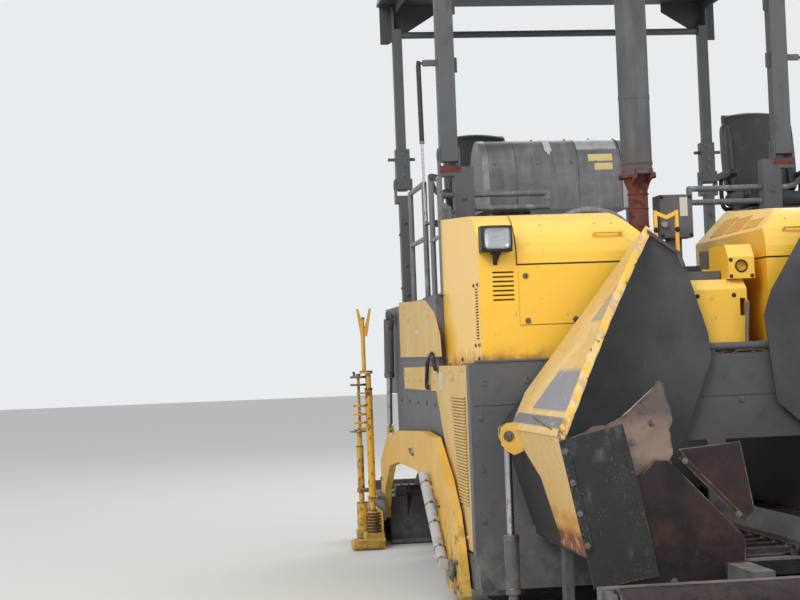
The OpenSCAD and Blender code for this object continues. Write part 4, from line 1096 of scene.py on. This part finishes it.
@madeTwice("hoodLouvres", "hood_lid", "hoodEnamel", smooth=False)
def hoodLouvres(bm, s):
    # pressed blades in three rows on the slanting inner side of a hood
    down = Vector((-s, 0, -1)).normalized()
    out = Vector((-s, 0, 1)).normalized()
    foot = Vector((s * 414, 0, 2029))
    section = ((-4.4, 0), (-3.6, 5.5), (2, 6.5), (3.4, 5), (3.4, 0))
    for y, count in cowls["louvreRows"]:
        for k in range(count):
            middle = foot + down * (82 - k * cowls["louvrePitch"])
            ends = [middle + out * 1 + Vector((0, y + q, 0)) for q in (0, cowls["louvreLong"])]
            addShell(bm, [[(end + down * a + out * b) / 1000 for a, b in section] for end in ends])


@madeOnce("cowlKnob", "tractor", "silverTrim")
def cowlKnob(bm):
    addRod(bm, (-13, -560, 2030), (-13, -572, 2030), 11, 24)
    addRod(bm, (-13, -572, 2030), (-13, -586, 2030), 19, 28, 16)


print("exhaust and cowl dressed")

consoles = {"middleY": 1050, "middleZ": 2495, "radius": 230, "foot": 2255, "steps": 48,
            "screwX": (-700, -420, -200, -40), "screwTurns": (165, 100, 25)}


def consoleBand(bm, start, end, proud, first=180, last=0):
    # a strip that follows the console's round back between two angles; the half turn has its legs as well
    reach = consoles["radius"] + proud
    steps = consoles["steps"]
    turns = [math.radians(first + (last - first) * k / steps) for k in range(steps + 1)]
    path = [(reach * math.cos(a), reach * math.sin(a), math.cos(a), math.sin(a)) for a in turns]
    if first - last == 180:
        drop = consoles["foot"] - consoles["middleZ"]
        path = [(-reach, drop, -1, 0)] + path + [(reach, drop, 1, 0)]
    depth = proud + 3
    rows = []
    for u, v, nu, nv in path:
        y, z = consoles["middleY"] + u, consoles["middleZ"] + v
        inner = (y - nu * depth, z - nv * depth)
        rows.append([mm(*spot) for spot in ((start, y, z), (end, y, z), (end, *inner), (start, *inner))])
    addShell(bm, rows)


# each band's ends across the machine, its height over the sheet, and its angles where it is short
consoleBands = {
    "consoleEnds": ("silverTrim", ((128, 184, 3), (-781, -740, 3))),
    "consoleSeams": ("blackPlastic", ((-158.5, -155.5, 0.6), (-561.5, -558.5, 0.6), (125, 128, 4))),
    # the pale cover sheet over the box's right-hand end
    "consoleShade": ("paleTube", ((-152, 110, 1.2, 141, 60),)),
    # two empty amber labels low on the box
    "consoleLabels": ("amberLabel", ((-88, 72, 1.0, 163.5, 151), (-50, 68, 1.0, 178, 167))),
    # the pale strap over the joint of the box's two covers
    "consoleCatch": ("blankLabel", ((-362, -318, 2.5, 143, 80), (-350, -330, 2.6, 149, 142))),
}
for bandName, (finishName, strips) in consoleBands.items():
    makePiece(bandName, "console", finishName, lambda bm: [consoleBand(bm, *strip) for strip in strips])


@madeOnce("consoleScrews", "console", "zincSteel")
def consoleScrews(bm):
    y, z, radius = consoles["middleY"], consoles["middleZ"], consoles["radius"]
    for x in consoles["screwX"]:
        for a in consoles["screwTurns"]:
            out = (0, math.cos(math.radians(a)), math.sin(math.radians(a)))
            addBolt(bm, (x, y + radius * out[1], z + radius * out[2]), out, 6)
    for x in (-690, -520):
        for y in (990, 1110):
            addBolt(bm, (x, y, 1732), upward, 9)


panels = {"face": 1292, "gaugeX": (-600, -504, -408), "gaugeZ": 2410, "levers": 14, "leverPitch": 42,
          "stickX": (-250, -120), "stopX": -14, "stopZ": 2420}


@madeOnce("controlPanel", "console", "blackPlastic", bevel=1)
def controlPanel(bm):
    # the panel with its gauges' rims, switches and two steering sticks
    face, rear = panels["face"], (0, 1, 0)
    addPlate(bm, [(1276, 2275), (face, 2280), (face, 2462), (1276, 2472)], -700, 640, "YZ")
    for x in panels["gaugeX"]:
        addRing(bm, (x, face, panels["gaugeZ"]), rear, 36, 5, 36, 10)
        addRod(bm, (x, face, panels["gaugeZ"]), (x, face + 3, panels["gaugeZ"]), 33, 36)
    for k in range(panels["levers"]):
        x = -660 + k * panels["leverPitch"]
        addRod(bm, (x, face, 2328), (x, 1300, 2328), 9, 16)
        addRod(bm, (x, 1300, 2328), (x, 1316, 2322 + 12 * (k % 3)), 3.5, 10, 5)
    for x in panels["stickX"]:
        addRing(bm, (x, 1300, 2400), rear, 22, 6, 28, 8)
        addRod(bm, (x, 1296, 2400), (x, 1352, 2404), 8, 16, 7)
        addBall(bm, (x, 1366, 2405), 19, (1, 0.9, 1.1))
    addBox(bm, (-40, 1278, 2300), (12, 1288, 2460))


@madeOnce("gaugeFaces", "console", "blankLabel")
def gaugeFaces(bm):
    for x in panels["gaugeX"]:
        addRod(bm, (x, 1294, panels["gaugeZ"]), (x, 1296, panels["gaugeZ"]), 30, 32)
    addBox(bm, (-360, 1291, 2370), (-296, 1294, 2440))


@madeOnce("stopKnob", "console", "redKnob")
def stopKnob(bm):
    x, z = panels["stopX"], panels["stopZ"]
    addRod(bm, (x, 1288, z), (x, 1304, z), 13, 24)
    addRod(bm, (x, 1304, z), (x, 1322, z), 22, 32, 18)


print("console dressed")

seatForm = {"lean": 82.3, "panChannels": 5, "backChannels": 6, "sideCells": 8, "bellows": 9, "bellowsRise": 38}
seatPlaces = {"seat_right": (-607, -320), "seat_left": (1150, -1130)}


def cushions(bm, x, dy):
    # pan, back and their side bolsters
    lean = Matrix.Rotation(math.radians(seatForm["lean"]), 3, "X")
    cells = seatForm["sideCells"]
    addPillow(bm, (x, 2066 + dy, 2281), (236, 230, 55), channels=seatForm["panChannels"])
    addPillow(bm, (x, 2292 + dy, 2602), (226, 305, 52), turn=lean, channels=seatForm["backChannels"])
    for s in sides.values():
        addPillow(bm, (x + s * 222, 2060 + dy, 2307), (30, 210, 45), cells)
        addPillow(bm, (x + s * 212, 2270 + dy, 2590), (30, 240, 58), cells, lean)


def armrests(bm, x, dy):
    for s in sides.values():
        addPillow(bm, (x + s * 275, 2116 + dy, 2465), (29, 166, 27), seatForm["sideCells"])


def seatShell(bm, x, dy):
    # pressed pan and back shell, bellows, slide rails, plinth, the armrest brackets and the lever
    shell = ((1850, 2214), (1870, 2200), (2280, 2200), (2330, 2290), (2392, 2880), (2380, 2898), (2364, 2890),
             (2300, 2300), (2270, 2232), (1850, 2232))
    addPlate(bm, [(y + dy, z) for y, z in shell], x - 205, 410, "YZ")
    for k in range(seatForm["bellows"]):
        wide, z = 150 - 3 * k, 1830 + k * seatForm["bellowsRise"]
        addShell(bm, [[mm(p, q, z + up) for p, q in roundedLoop(x, 2060 + dy, 2 * reach, 2 * reach, 40, 4)]
                      for reach, up in ((wide - 16, 0), (wide, 12), (wide, 24), (wide - 16, 38))])
    addBox(bm, (x - 160, 1900 + dy, 2170), (x + 160, 2220 + dy, 2202))
    addBox(bm, (x - 150, 1905 + dy, 1741), (x + 150, 2215 + dy, 1832))
    addBox(bm, (x - 200, 1880 + dy, 1700.4), (x + (78 if x > 0 else 200), 2240 + dy, 1745))
    for s in sides.values():
        bracket = ((205, 2250, 2240), (258, 2246, 2262), (272, 2242, 2340), (275, 2232, 2442))
        addTube(bm, [(x + s * p, q + dy, z) for p, q, z in bracket], 15, 12, 6)
    addRod(bm, (x - 212, 2252 + dy, 2262), (x + 212, 2252 + dy, 2262), 16, 20)
    addRod(bm, (x + 160, 1940 + dy, 2185), (x + 226, 1925 + dy, 2196), 6, 12)
    addBall(bm, (x + 230, 1924 + dy, 2197), 13)


for name, place in seatPlaces.items():
    soft = makePiece(name + "_cushions", name, "seatVinyl", lambda bm: cushions(bm, *place))
    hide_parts(name)
    rests = makePiece(name + "_armrests", name, "seatVinyl", lambda bm: armrests(bm, *place))
    makePiece(name + "_shell", name, "blackPlastic", lambda bm: seatShell(bm, *place), bevel=2)
print("seats upholstered")


rails = {"flange": 34, "deck": 1700, "bolts": 4, "frontX": 1190, "grip": 19.5, "gripRibs": 1.6,
         "feet": [(s * x, y) for s in (-1, 1) for x, y in ((1190, -10), (1190, 330), (1130, 60), (1130, 270))]
         + [(-1190, 620), (-1190, 1250), (-600, 2460), (600, 2460)]}


@madeOnce("railFeet", "tractor", "paintedTube")
def railFeet(bm):
    # flange, weld and bolts at each post's foot
    for x, y in rails["feet"]:
        top = (x, y, rails["deck"] + 8)
        addRod(bm, (x, y, rails["deck"]), top, rails["flange"], 32)
        addRing(bm, top, upward, 18, 4, 28, 8)
        addBoltCircle(bm, top, upward, 26, rails["bolts"], 4, 0.5)


@madeOnce("railExtras", "tractor", "paintedTube")
def railExtras(bm):
    # tube that runs on from the post to the front rail, the sleeve on the post and the mid rail
    for s in sides.values():
        addTube(bm, mirrored(s, (1034, 440, 2325), (1090, 440, 2327), (1132, 436, 2338), (1162, 400, 2372),
                             (1184, 344, 2410)), 15, 14, 6)
        for z in (2325, 2240):
            addRing(bm, (s * 912, 440, z), (1, 0, 0), 20, 4, 32, 8)
        for y in (-10, 330):
            addRing(bm, (s * rails["frontX"], y, 2040), upward, 18, 4, 28, 8)
        addTube(bm, mirrored(s, (1190, -10, 2040), (1190, 160, 2046), (1190, 330, 2040)), 13, 12, 5)
    addRing(bm, (-450, 440, 2282), upward, 20, 3, 28, 8)
    addTube(bm, [(-600, 2460, 2080), (0, 2460, 2080), (600, 2460, 2080)], 14, 12, 3)


@madeMirrored("railGrips", "tractor", "dustyRubber")
def railGrips(bm, s):
    addTube(bm, mirrored(s, (1190, 30, 2386), (1190, 160, 2405), (1190, 290, 2424)),
            rails["grip"], 16, 7, ribs=rails["gripRibs"])


posts = {"frontY": 440, "rearY": 2150, "faceBolt": 10, "sideBolt": 9, "nut": 34,
         "plates": (((890, 372, 1700), (1058, 508, 1712)), ((1070, 2080, 1700), (1170, 2220, 1712)))}


@madeMirrored("postBolts", "tractor", "greyEnamel", bevel=1)
def postBolts(bm, s):
    # bolts, the pivot nuts of the roof arms and the posts' base plates on the deck
    front, rear = posts["frontY"], posts["rearY"]
    for x, y in ((974, front), (1120, rear)):
        for z in (1790, 2000, 2300):
            addBolt(bm, (s * x, y - 45, z), forward, posts["faceBolt"])
    for x, y in ((1034, front), (1150, rear)):
        for z in (1840, 2220):
            addBolt(bm, (s * x, y, z), (s, 0, 0), posts["sideBolt"])
    for x0, x1, y in ((1122, 1128, front), (1176, 1184, rear)):
        addRod(bm, (s * x0, y, 2570), (s * x1, y, 2570), posts["nut"], 6)
    for corners in posts["plates"]:
        addBox(bm, *mirrored(s, *corners))


roofs = {"half": 1250, "front": 140, "rear": 2240, "lower": 3866, "lip": 7, "beads": (760, 1180, 1600),
         "rivets": 13, "rivetPitch": 200, "lampX": (-760, 760), "lampZ": 3806}


@madeOnce("roofTrim", "roof_panel", "dustyRubber")
def roofTrim(bm):
    # rubber lip all round
    x, y0, y1, z = roofs["half"] - 4, roofs["front"] + 4, roofs["rear"] - 4, roofs["lower"] + 8
    addTube(bm, [(-x, y0, z), (x, y0, z), (x, y1, z), (-x, y1, z), (-x, y0, z)], roofs["lip"], 10, 0)


@madeOnce("roofRibs", "roof_panel", "roofLaminate", bevel=2)
def roofRibs(bm):
    # pressed beads and bolts under the roof, rivets on the top sheet
    for y in roofs["beads"]:
        addPlate(bm, [(y - 46, 3867), (y - 30, 3842), (y + 30, 3842), (y + 46, 3867)], -985, 1970, "YZ")
    for s in sides.values():
        for k in range(8):
            addBolt(bm, (s * 1121, 330 + k * 240, 3855), (-s, 0, 0), 6)
    for k in range(roofs["rivets"]):
        for y, z in ((262, 3921.5), (2100, 3925.5)):
            addBall(bm, (-1200 + k * roofs["rivetPitch"], y, z), 8, (1, 1, 0.5))


@madeOnce("workLamps", "roof_panel", "blackPlastic")
def workLamps(bm):
    # two stays and a tapering case each
    z = roofs["lampZ"]
    for x in roofs["lampX"]:
        for s in sides.values():
            addTube(bm, [(x + s * 62, 236, 3866), (x + s * 64, 232, 3830), (x + s * 60, 228, z)], 6, 10, 4)
        loop = roundedLoop(x, z, 112, 84, 18)
        addShell(bm, [upright([(x + (p - x) * share, z + (q - z) * share) for p, q in loop], y)
                      for y, share in ((196, 0.96), (200, 1.0), (236, 1.0), (262, 0.7))])


@madeOnce("workLenses", "roof_panel", "lampMirror")
def workLenses(bm):
    for x in roofs["lampX"]:
        outer, inner = roundedLoop(x, roofs["lampZ"], 98, 70, 13), roundedLoop(x, roofs["lampZ"], 50, 30, 8)
        addShell(bm, [upright(outer, 199), upright(outer, 193), upright(inner, 189)])


roofArms = {"front": (2720, 3000, 3300, 3600), "rear": (2640, 2700, 2790), "rearBolt": 8,
            "fork": (((1121, 396, 2495), (994, 484, 2499)), ((1121, 391.5, 2462), (994, 395.2, 2502)))}


@madeMirrored("armWelds", "roof_front_arms", "zincSteel")
def armWelds(bm, s):
    for z in roofArms["front"]:
        addRod(bm, (s * 1104, 440, z), (s * 1114, 440, z), 10, 6)


@madeMirrored("forkPlates", "tractor", "rustedIron")
def forkPlates(bm, s):
    # the floor and the front lip of the fork that the roof's front arm stands in
    for corners in roofArms["fork"]:
        addBox(bm, *mirrored(s, *corners))


@madeMirrored("rearArmBolts", "roof_rear_arms", "zincSteel")
def rearArmBolts(bm, s):
    for z in roofArms["rear"]:
        addBolt(bm, (s * 1117, 2106, z), forward, roofArms["rearBolt"])


print("rails and roof dressed")

ducts = {"path": [(-530, -6, 1980), (-500, -6, 2090), (-440, -8, 2142), (-350, -8, 2166), (-250, -10, 2164),
                  (-160, -40, 2130), (-105, -110, 2060), (-95, -190, 1960)], "radius": 21, "ribs": 3}


@madeOnce("airDuct", "tractor", "ductSkin")
def airDuct(bm):
    # corrugated duct behind the hoods, on its way to the pipe's elbow
    addTube(bm, ducts["path"], ducts["radius"], 18, 14, ribs=ducts["ribs"])


# the deck's lozenges keep off the box, and off the ways of the console and of both seats
treads = {"pitch": 60, "long": 15, "wide": 4.5, "proud": 1.6, "deckZ": 1699.6, "stepZ": 1129.6, "walkZ": 359.6,
          "keepOut": (((-915, 235), (-285, 435)), ((-800, 925), (820, 1175)), ((-1225, 1540), (-390, 1940)),
                      ((600, 730), (1240, 1130)))}


def lozenge(bm, x, y, z, way):
    a, b, h = treads["long"], treads["wide"], treads["proud"]
    u = Vector((math.cos(way), math.sin(way), 0))
    v = Vector((-u.y, u.x, 0))
    at = Vector((x, y, z))
    foot = [(at + p) / 1000 for p in (u * a, v * b, -u * a, -v * b)]
    top = [(at + p + Vector((0, 0, h))) / 1000 for p in (u * a * 0.6, v * b * 0.5, -u * a * 0.6, -v * b * 0.5)]
    addShell(bm, [foot, top])


def treadField(bm, corner, opposite, z, keepOut=()):
    (x0, x1), (y0, y1) = (sorted(pair) for pair in zip(corner, opposite))
    step = treads["pitch"] / 2
    for i in range(int((x1 - x0) / step)):
        for j in range(int((y1 - y0) / step)):
            x, y = x0 + (i + 0.7) * step, y0 + (j + 0.7) * step
            covered = any(a[0] < x < b[0] and a[1] < y < b[1] for a, b in keepOut)
            if (i + j) % 2 == 0 and not covered:
                lozenge(bm, x, y, z, math.radians(45 if i % 2 else 135))


@madeOnce("deckTread", "tractor", "greyEnamel", smooth=False)
def deckTread(bm):
    treadField(bm, (-1225, 10), (1225, 2490), treads["deckZ"], treads["keepOut"])
    for s in sides.values():
        treadField(bm, (s * 1225, 2205), (s * 830, 2455), treads["stepZ"])


@madeTwice("walkTread", "extension", "greyEnamel", smooth=False)
def walkTread(bm, s):
    treadField(bm, (s * 1300, 2870), (s * 80, 3110), treads["walkZ"])


bodyFit = {"sideX": 1238.6, "sideY": (150, 500, 900, 1300, 1700), "rearY": 1950,
           "rearZ": (760, 1000, 1240, 1480), "slats": 12, "slatPitch": 44, "lensX": 1209, "lensRadius": 19}


@madeOnce("bodyBolts", "tractor", "greyEnamel")
def bodyBolts(bm):
    # bolts, rear lamp housings on the step frames, tie-down rings and the slats of the rear opening
    rear = (0, 1, 0)
    for s in sides.values():
        for y in bodyFit["sideY"]:
            for z in (820, 1060):
                addBolt(bm, (s * bodyFit["sideX"], y, z), (s, 0, 0), 8)
        for z in bodyFit["rearZ"]:
            addBolt(bm, (s * 1200, bodyFit["rearY"], z), rear, 9)
        addBox(bm, (s * 1232, 2460, 1500), (s * 1186, 2478, 1620))
        addRing(bm, (s * 1216, 2474, 1270), (1, 0, 0), 26, 6, 28, 8)
        for z in (1240, 1380):
            addBolt(bm, (s * 1208, 2460, z), rear, 8)
    for k in range(bodyFit["slats"]):
        z = 1080 + k * bodyFit["slatPitch"]
        addPlate(bm, [(1949, z), (1963, z - 10), (1963, z - 14), (1949, z - 4)], -420, 840, "YZ")
    for x in (-560, -440, 440, 560):
        for z in (960, 1240):
            addBolt(bm, (x, bodyFit["rearY"], z), rear, 9)


@madeOnce("rearLenses", "tractor", "amberLens")
def rearLenses(bm):
    for x in (-bodyFit["lensX"], bodyFit["lensX"]):
        for z in (1532, 1588):
            addRod(bm, (x, 2478, z), (x, 2486, z), bodyFit["lensRadius"], 32, 16)


print("deck and body dressed")

screeds = {"wheelX": 1476, "guideX": 1405, "frontGuideY": 2290, "rearGuideY": 3050, "bolts": 12,
           "boltPitch": 210, "boltRadius": 9, "thread": 22, "threadPitch": 5.5, "bellows": 7,
           "bellowsPitch": 21,
           "gateBolts": ((2330, 200), (2520, 200), (2760, 200), (2960, 200), (3140, 200),
                         (2330, 150), (2520, 90), (2760, 90), (2960, 90), (3140, 90))}


@madeOnce("screedBolts", "screed", "zincSteel", bevel=1)
def screedBolts(bm):
    for k in range(screeds["bolts"]):
        x = -1155 + k * screeds["boltPitch"]
        for z in (120, 280):
            addBolt(bm, (x, 2540, z), forward, screeds["boltRadius"])
        addBolt(bm, (x, 2580, 420), upward, screeds["boltRadius"])
    # four hatches with their handles
    for x in (-900, -300, 300, 900):
        addBox(bm, (x - 120, 2690, 340), (x + 120, 2800, 352))
        addTube(bm, [(x - 50, 2745, 352), (x - 48, 2745, 380), (x, 2745, 392), (x + 48, 2745, 380),
                     (x + 50, 2745, 352)], 6, 10, 5)


@madeTwice("extensionFittings", "extension", "zincSteel")
def extensionFittings(bm, s):
    # the height crank's two-decked wheel with its thread, the guides' collars, bolts and a toe board
    x, y = s * screeds["wheelX"], screeds["frontGuideY"]
    for z in (1167, 1222):
        addRing(bm, (x, y, z), upward, 50, 7, 40, 10)
        for spot in circleSpots((x, y, z), upward, 50, 10):
            addBall(bm, spot, 9)
    addRod(bm, (x, y, 1229), (x, y, 1246), 17, 6)
    addRod(bm, (x + s * 30, y, 1229), (x + s * 30, y, 1262), 8, 16, 10)
    for k in range(screeds["thread"]):
        addRing(bm, (x, y, 1036 + k * screeds["threadPitch"]), upward, 9.5, 1.6, 20, 6)
    for guideY, top in ((screeds["frontGuideY"], 1142), (screeds["rearGuideY"], 700)):
        addRing(bm, (s * screeds["guideX"], guideY, top - 8), upward, 27, 5, 32, 8)
        for k in range(4):
            addBolt(bm, (s * (1345 + 22 * k), guideY - 35, 360), forward, 6)
    for k in range(7):
        for z in (320, 80):
            addBolt(bm, (s * (180 + 180 * k), 3120, z), (0, 1, 0), screeds["boltRadius"])
    addPlate(bm, [(3106, 358), (3118, 358), (3118, 424), (3112, 428), (3106, 424)], s * 70, s * 1250, "YZ")


@madeTwice("gateFittings", "end_gate", "zincSteel")
def gateFittings(bm, s):
    # bolts, collars of the two guides, the foot plate's wheel with its spokes and the jack's cap
    for y, z in screeds["gateBolts"]:
        addBolt(bm, (s * 1352, y, z), (s, 0, 0), 8)
    for y in (2230, 2350):
        addBolt(bm, (s * 1520, y, 60), upward, 8)
    x, frontY, rearY = s * screeds["guideX"], screeds["frontGuideY"], screeds["rearGuideY"]
    addRing(bm, (x, frontY, 274), upward, 30, 4, 36, 8)
    addRing(bm, (s * 1418, frontY, 1262), upward, 44, 4, 36, 8)
    addRing(bm, (x, rearY, 268), upward, 38, 5, 36, 8)
    hub = (x, rearY, 816)
    for inner, outer in zip(circleSpots(hub, upward, 20, 3), circleSpots(hub, upward, 66, 3)):
        addRod(bm, inner, outer, 5, 12)
    addRing(bm, (x, rearY, 806), upward, 70, 6, 40, 10)
    addRod(bm, (s * 1432, frontY, 1636), (s * 1432, frontY, 1648), 19, 24, 16)


@madeTwice("gateBellows", "end_gate", "dustyRubber")
def gateBellows(bm, s):
    for i in range(screeds["bellows"]):
        z = 122.5 + i * screeds["bellowsPitch"]
        addRing(bm, (s * screeds["guideX"], screeds["frontGuideY"], z), upward, 44, 6, 40, 10)


@madeTwice("augerCollars", "auger", "scouredSteel")
def augerCollars(bm, s):
    for x in (1150, 620, 90):
        addRing(bm, (s * x, 2200, 420), (1, 0, 0), 31, 8, 32, 10)
    addBoltCircle(bm, (s * 1180, 2200, 420), (s, 0, 0), 20, 6, 3.5)


beams = {"rollerY": -3120, "rollerZ": 305, "collar": 73, "boltX": (200, 480, 760, 980), "boltRadius": 11}


@madeTwice("rollerCollars", "push_roller", "scouredSteel")
def rollerCollars(bm, s):
    y, z = beams["rollerY"], beams["rollerZ"]
    for x, faceX, out in ((151, 147, -1), (1014, 1018, 1)):
        addRing(bm, (s * x, y, z), (1, 0, 0), beams["collar"], 5, 48, 8)
        addBoltCircle(bm, (s * faceX, y, z), (s * out, 0, 0), 46, 6, 4)


@madeMirrored("beamFittings", "tractor", "greyEnamel")
def beamFittings(bm, s):
    # beam bolts, the rollers' pin heads and the welds of their cheeks
    for x in beams["boltX"]:
        addBolt(bm, (s * x, -3035, 305), forward, beams["boltRadius"])
    for x in (142, 1047):
        addRod(bm, (s * x, beams["rollerY"], 305), (s * (x + 7), beams["rollerY"], 305), 30, 6)
    for x in (118, 1023):
        for k in range(7):
            addBall(bm, (s * x, -3036, 258 + k * 15), 4, (0.8, 0.8, 2))


print("screed and beam dressed")


def alongCylinder(body, name, pins, fill):
    # pieces on a cylinder: its own line is the local Z from the first pin
    def turned(bm):
        start, end = Vector(pins[0]), Vector(pins[1])
        place = Matrix.Translation(start / 1000) @ axisTurn(end - start)
        fill(bm)
        bmesh.ops.transform(bm, matrix=place, verts=bm.verts)
    makePiece(name, body, "zincSteel", turned)


def gland(bm, reach, radius, portAt):
    # the rod's screwed collar, a band and two hose ports
    addRing(bm, (0, 0, reach), upward, radius - 5, 6, 36, 10)
    addRod(bm, (0, 0, reach - 26), (0, 0, reach - 8), radius + 3, 12)
    addRing(bm, (0, 0, portAt), upward, radius, 3, 36, 8)
    for z in (portAt, reach - 50):
        addRod(bm, (0, -radius + 4, z), (0, -radius - 12, z), 11, 6)
        addRod(bm, (0, -radius - 12, z), (0, -radius - 20, z), 7, 12)


def strutCaps(bm):
    addRod(bm, (0, 0, 488), (0, 0, 500), 16, 24)
    addRod(bm, (0, 0, 14), (0, 0, 24), 12, 12)


cylinders = {
    "lift": {"pins": ((1288, 1900, 1640), (1288, 2050, 850)), "gland": (430, 34, 70)},
    "wing": {"pin": (1170, -1710, 120), "eye": (-1170, -1710, 944), "gland": (345, 36, 90)},
    "strut": {"pins": ((1222, 440, 3140), (1222, 380, 2150))},
}
for side, s in sides.items():
    alongCylinder("lift_barrel_" + side, "liftGland_" + side, mirrored(s, *cylinders["lift"]["pins"]),
                  lambda bm: gland(bm, *cylinders["lift"]["gland"]))
    alongCylinder("strut_barrel_" + side, "strutGland_" + side, mirrored(s, *cylinders["strut"]["pins"]),
                  strutCaps)
    wingPins = (*mirrored(s, cylinders["wing"]["pin"]), wingSpot(s, *cylinders["wing"]["eye"]))
    alongCylinder("wing_barrel_" + side, "wingGland_" + side, wingPins,
                  lambda bm: gland(bm, *cylinders["wing"]["gland"]))
print("cylinders dressed")

stage = {"floorHex": "#d9d8d4", "floorRough": 0.9, "floorSize": 120, "skyHex": "#eef1f4", "sky": 0.75,
         "backdrop": 0.95, "aim": (0, 0, 1.2),
         "lamps": {"key": (900, 6, (-7, -9, 9)), "fill": (350, 8, (9, -6, 6)), "rim": (400, 6, (4, 9, 9))}}


def addStage():
    bpy.ops.mesh.primitive_plane_add(size=stage["floorSize"], location=(0, 0, 0))
    floor = bpy.context.object
    floor.name = "floor"
    # swept concrete, matt and nearly white, so that it throws soft light up at the machine
    concrete = surface(stage["floorHex"], stage["floorRough"], None)
    floor.data.materials.append(finishedSurface("paleFloor", concrete))
    world = bpy.data.worlds.new("studio")
    world.use_nodes = True
    tree = world.node_tree
    seen = addNode(tree, "ShaderNodeLightPath").outputs
    shown = seen["Is Camera Ray"]
    for other in ("Is Glossy Ray", "Is Transmission Ray"):
        either = addNode(tree, "ShaderNodeMath", {"operation": "MAXIMUM"}, {0: shown, 1: seen[other]})
        shown = either.outputs[0]
    strength = addNode(tree, "ShaderNodeMapRange", inputs={
        "Value": shown, "To Min": stage["sky"], "To Max": stage["backdrop"]})
    back = tree.nodes["Background"]
    back.inputs["Color"].default_value = toLinear(stage["skyHex"])
    tree.links.new(strength.outputs[0], back.inputs["Strength"])
    bpy.context.scene.world = world
    for name, (power, size, place) in stage["lamps"].items():
        light = bpy.data.lights.new(name, "AREA")
        light.energy = power
        light.size = size
        lamp = bpy.data.objects.new(name, light)
        lamp.location = place
        lamp.rotation_euler = (Vector(stage["aim"]) - Vector(place)).to_track_quat("-Z", "Y").to_euler()
        bpy.context.collection.objects.link(lamp)


addStage()
bpy.context.scene.view_settings.view_transform = "Standard"
print("stage set")
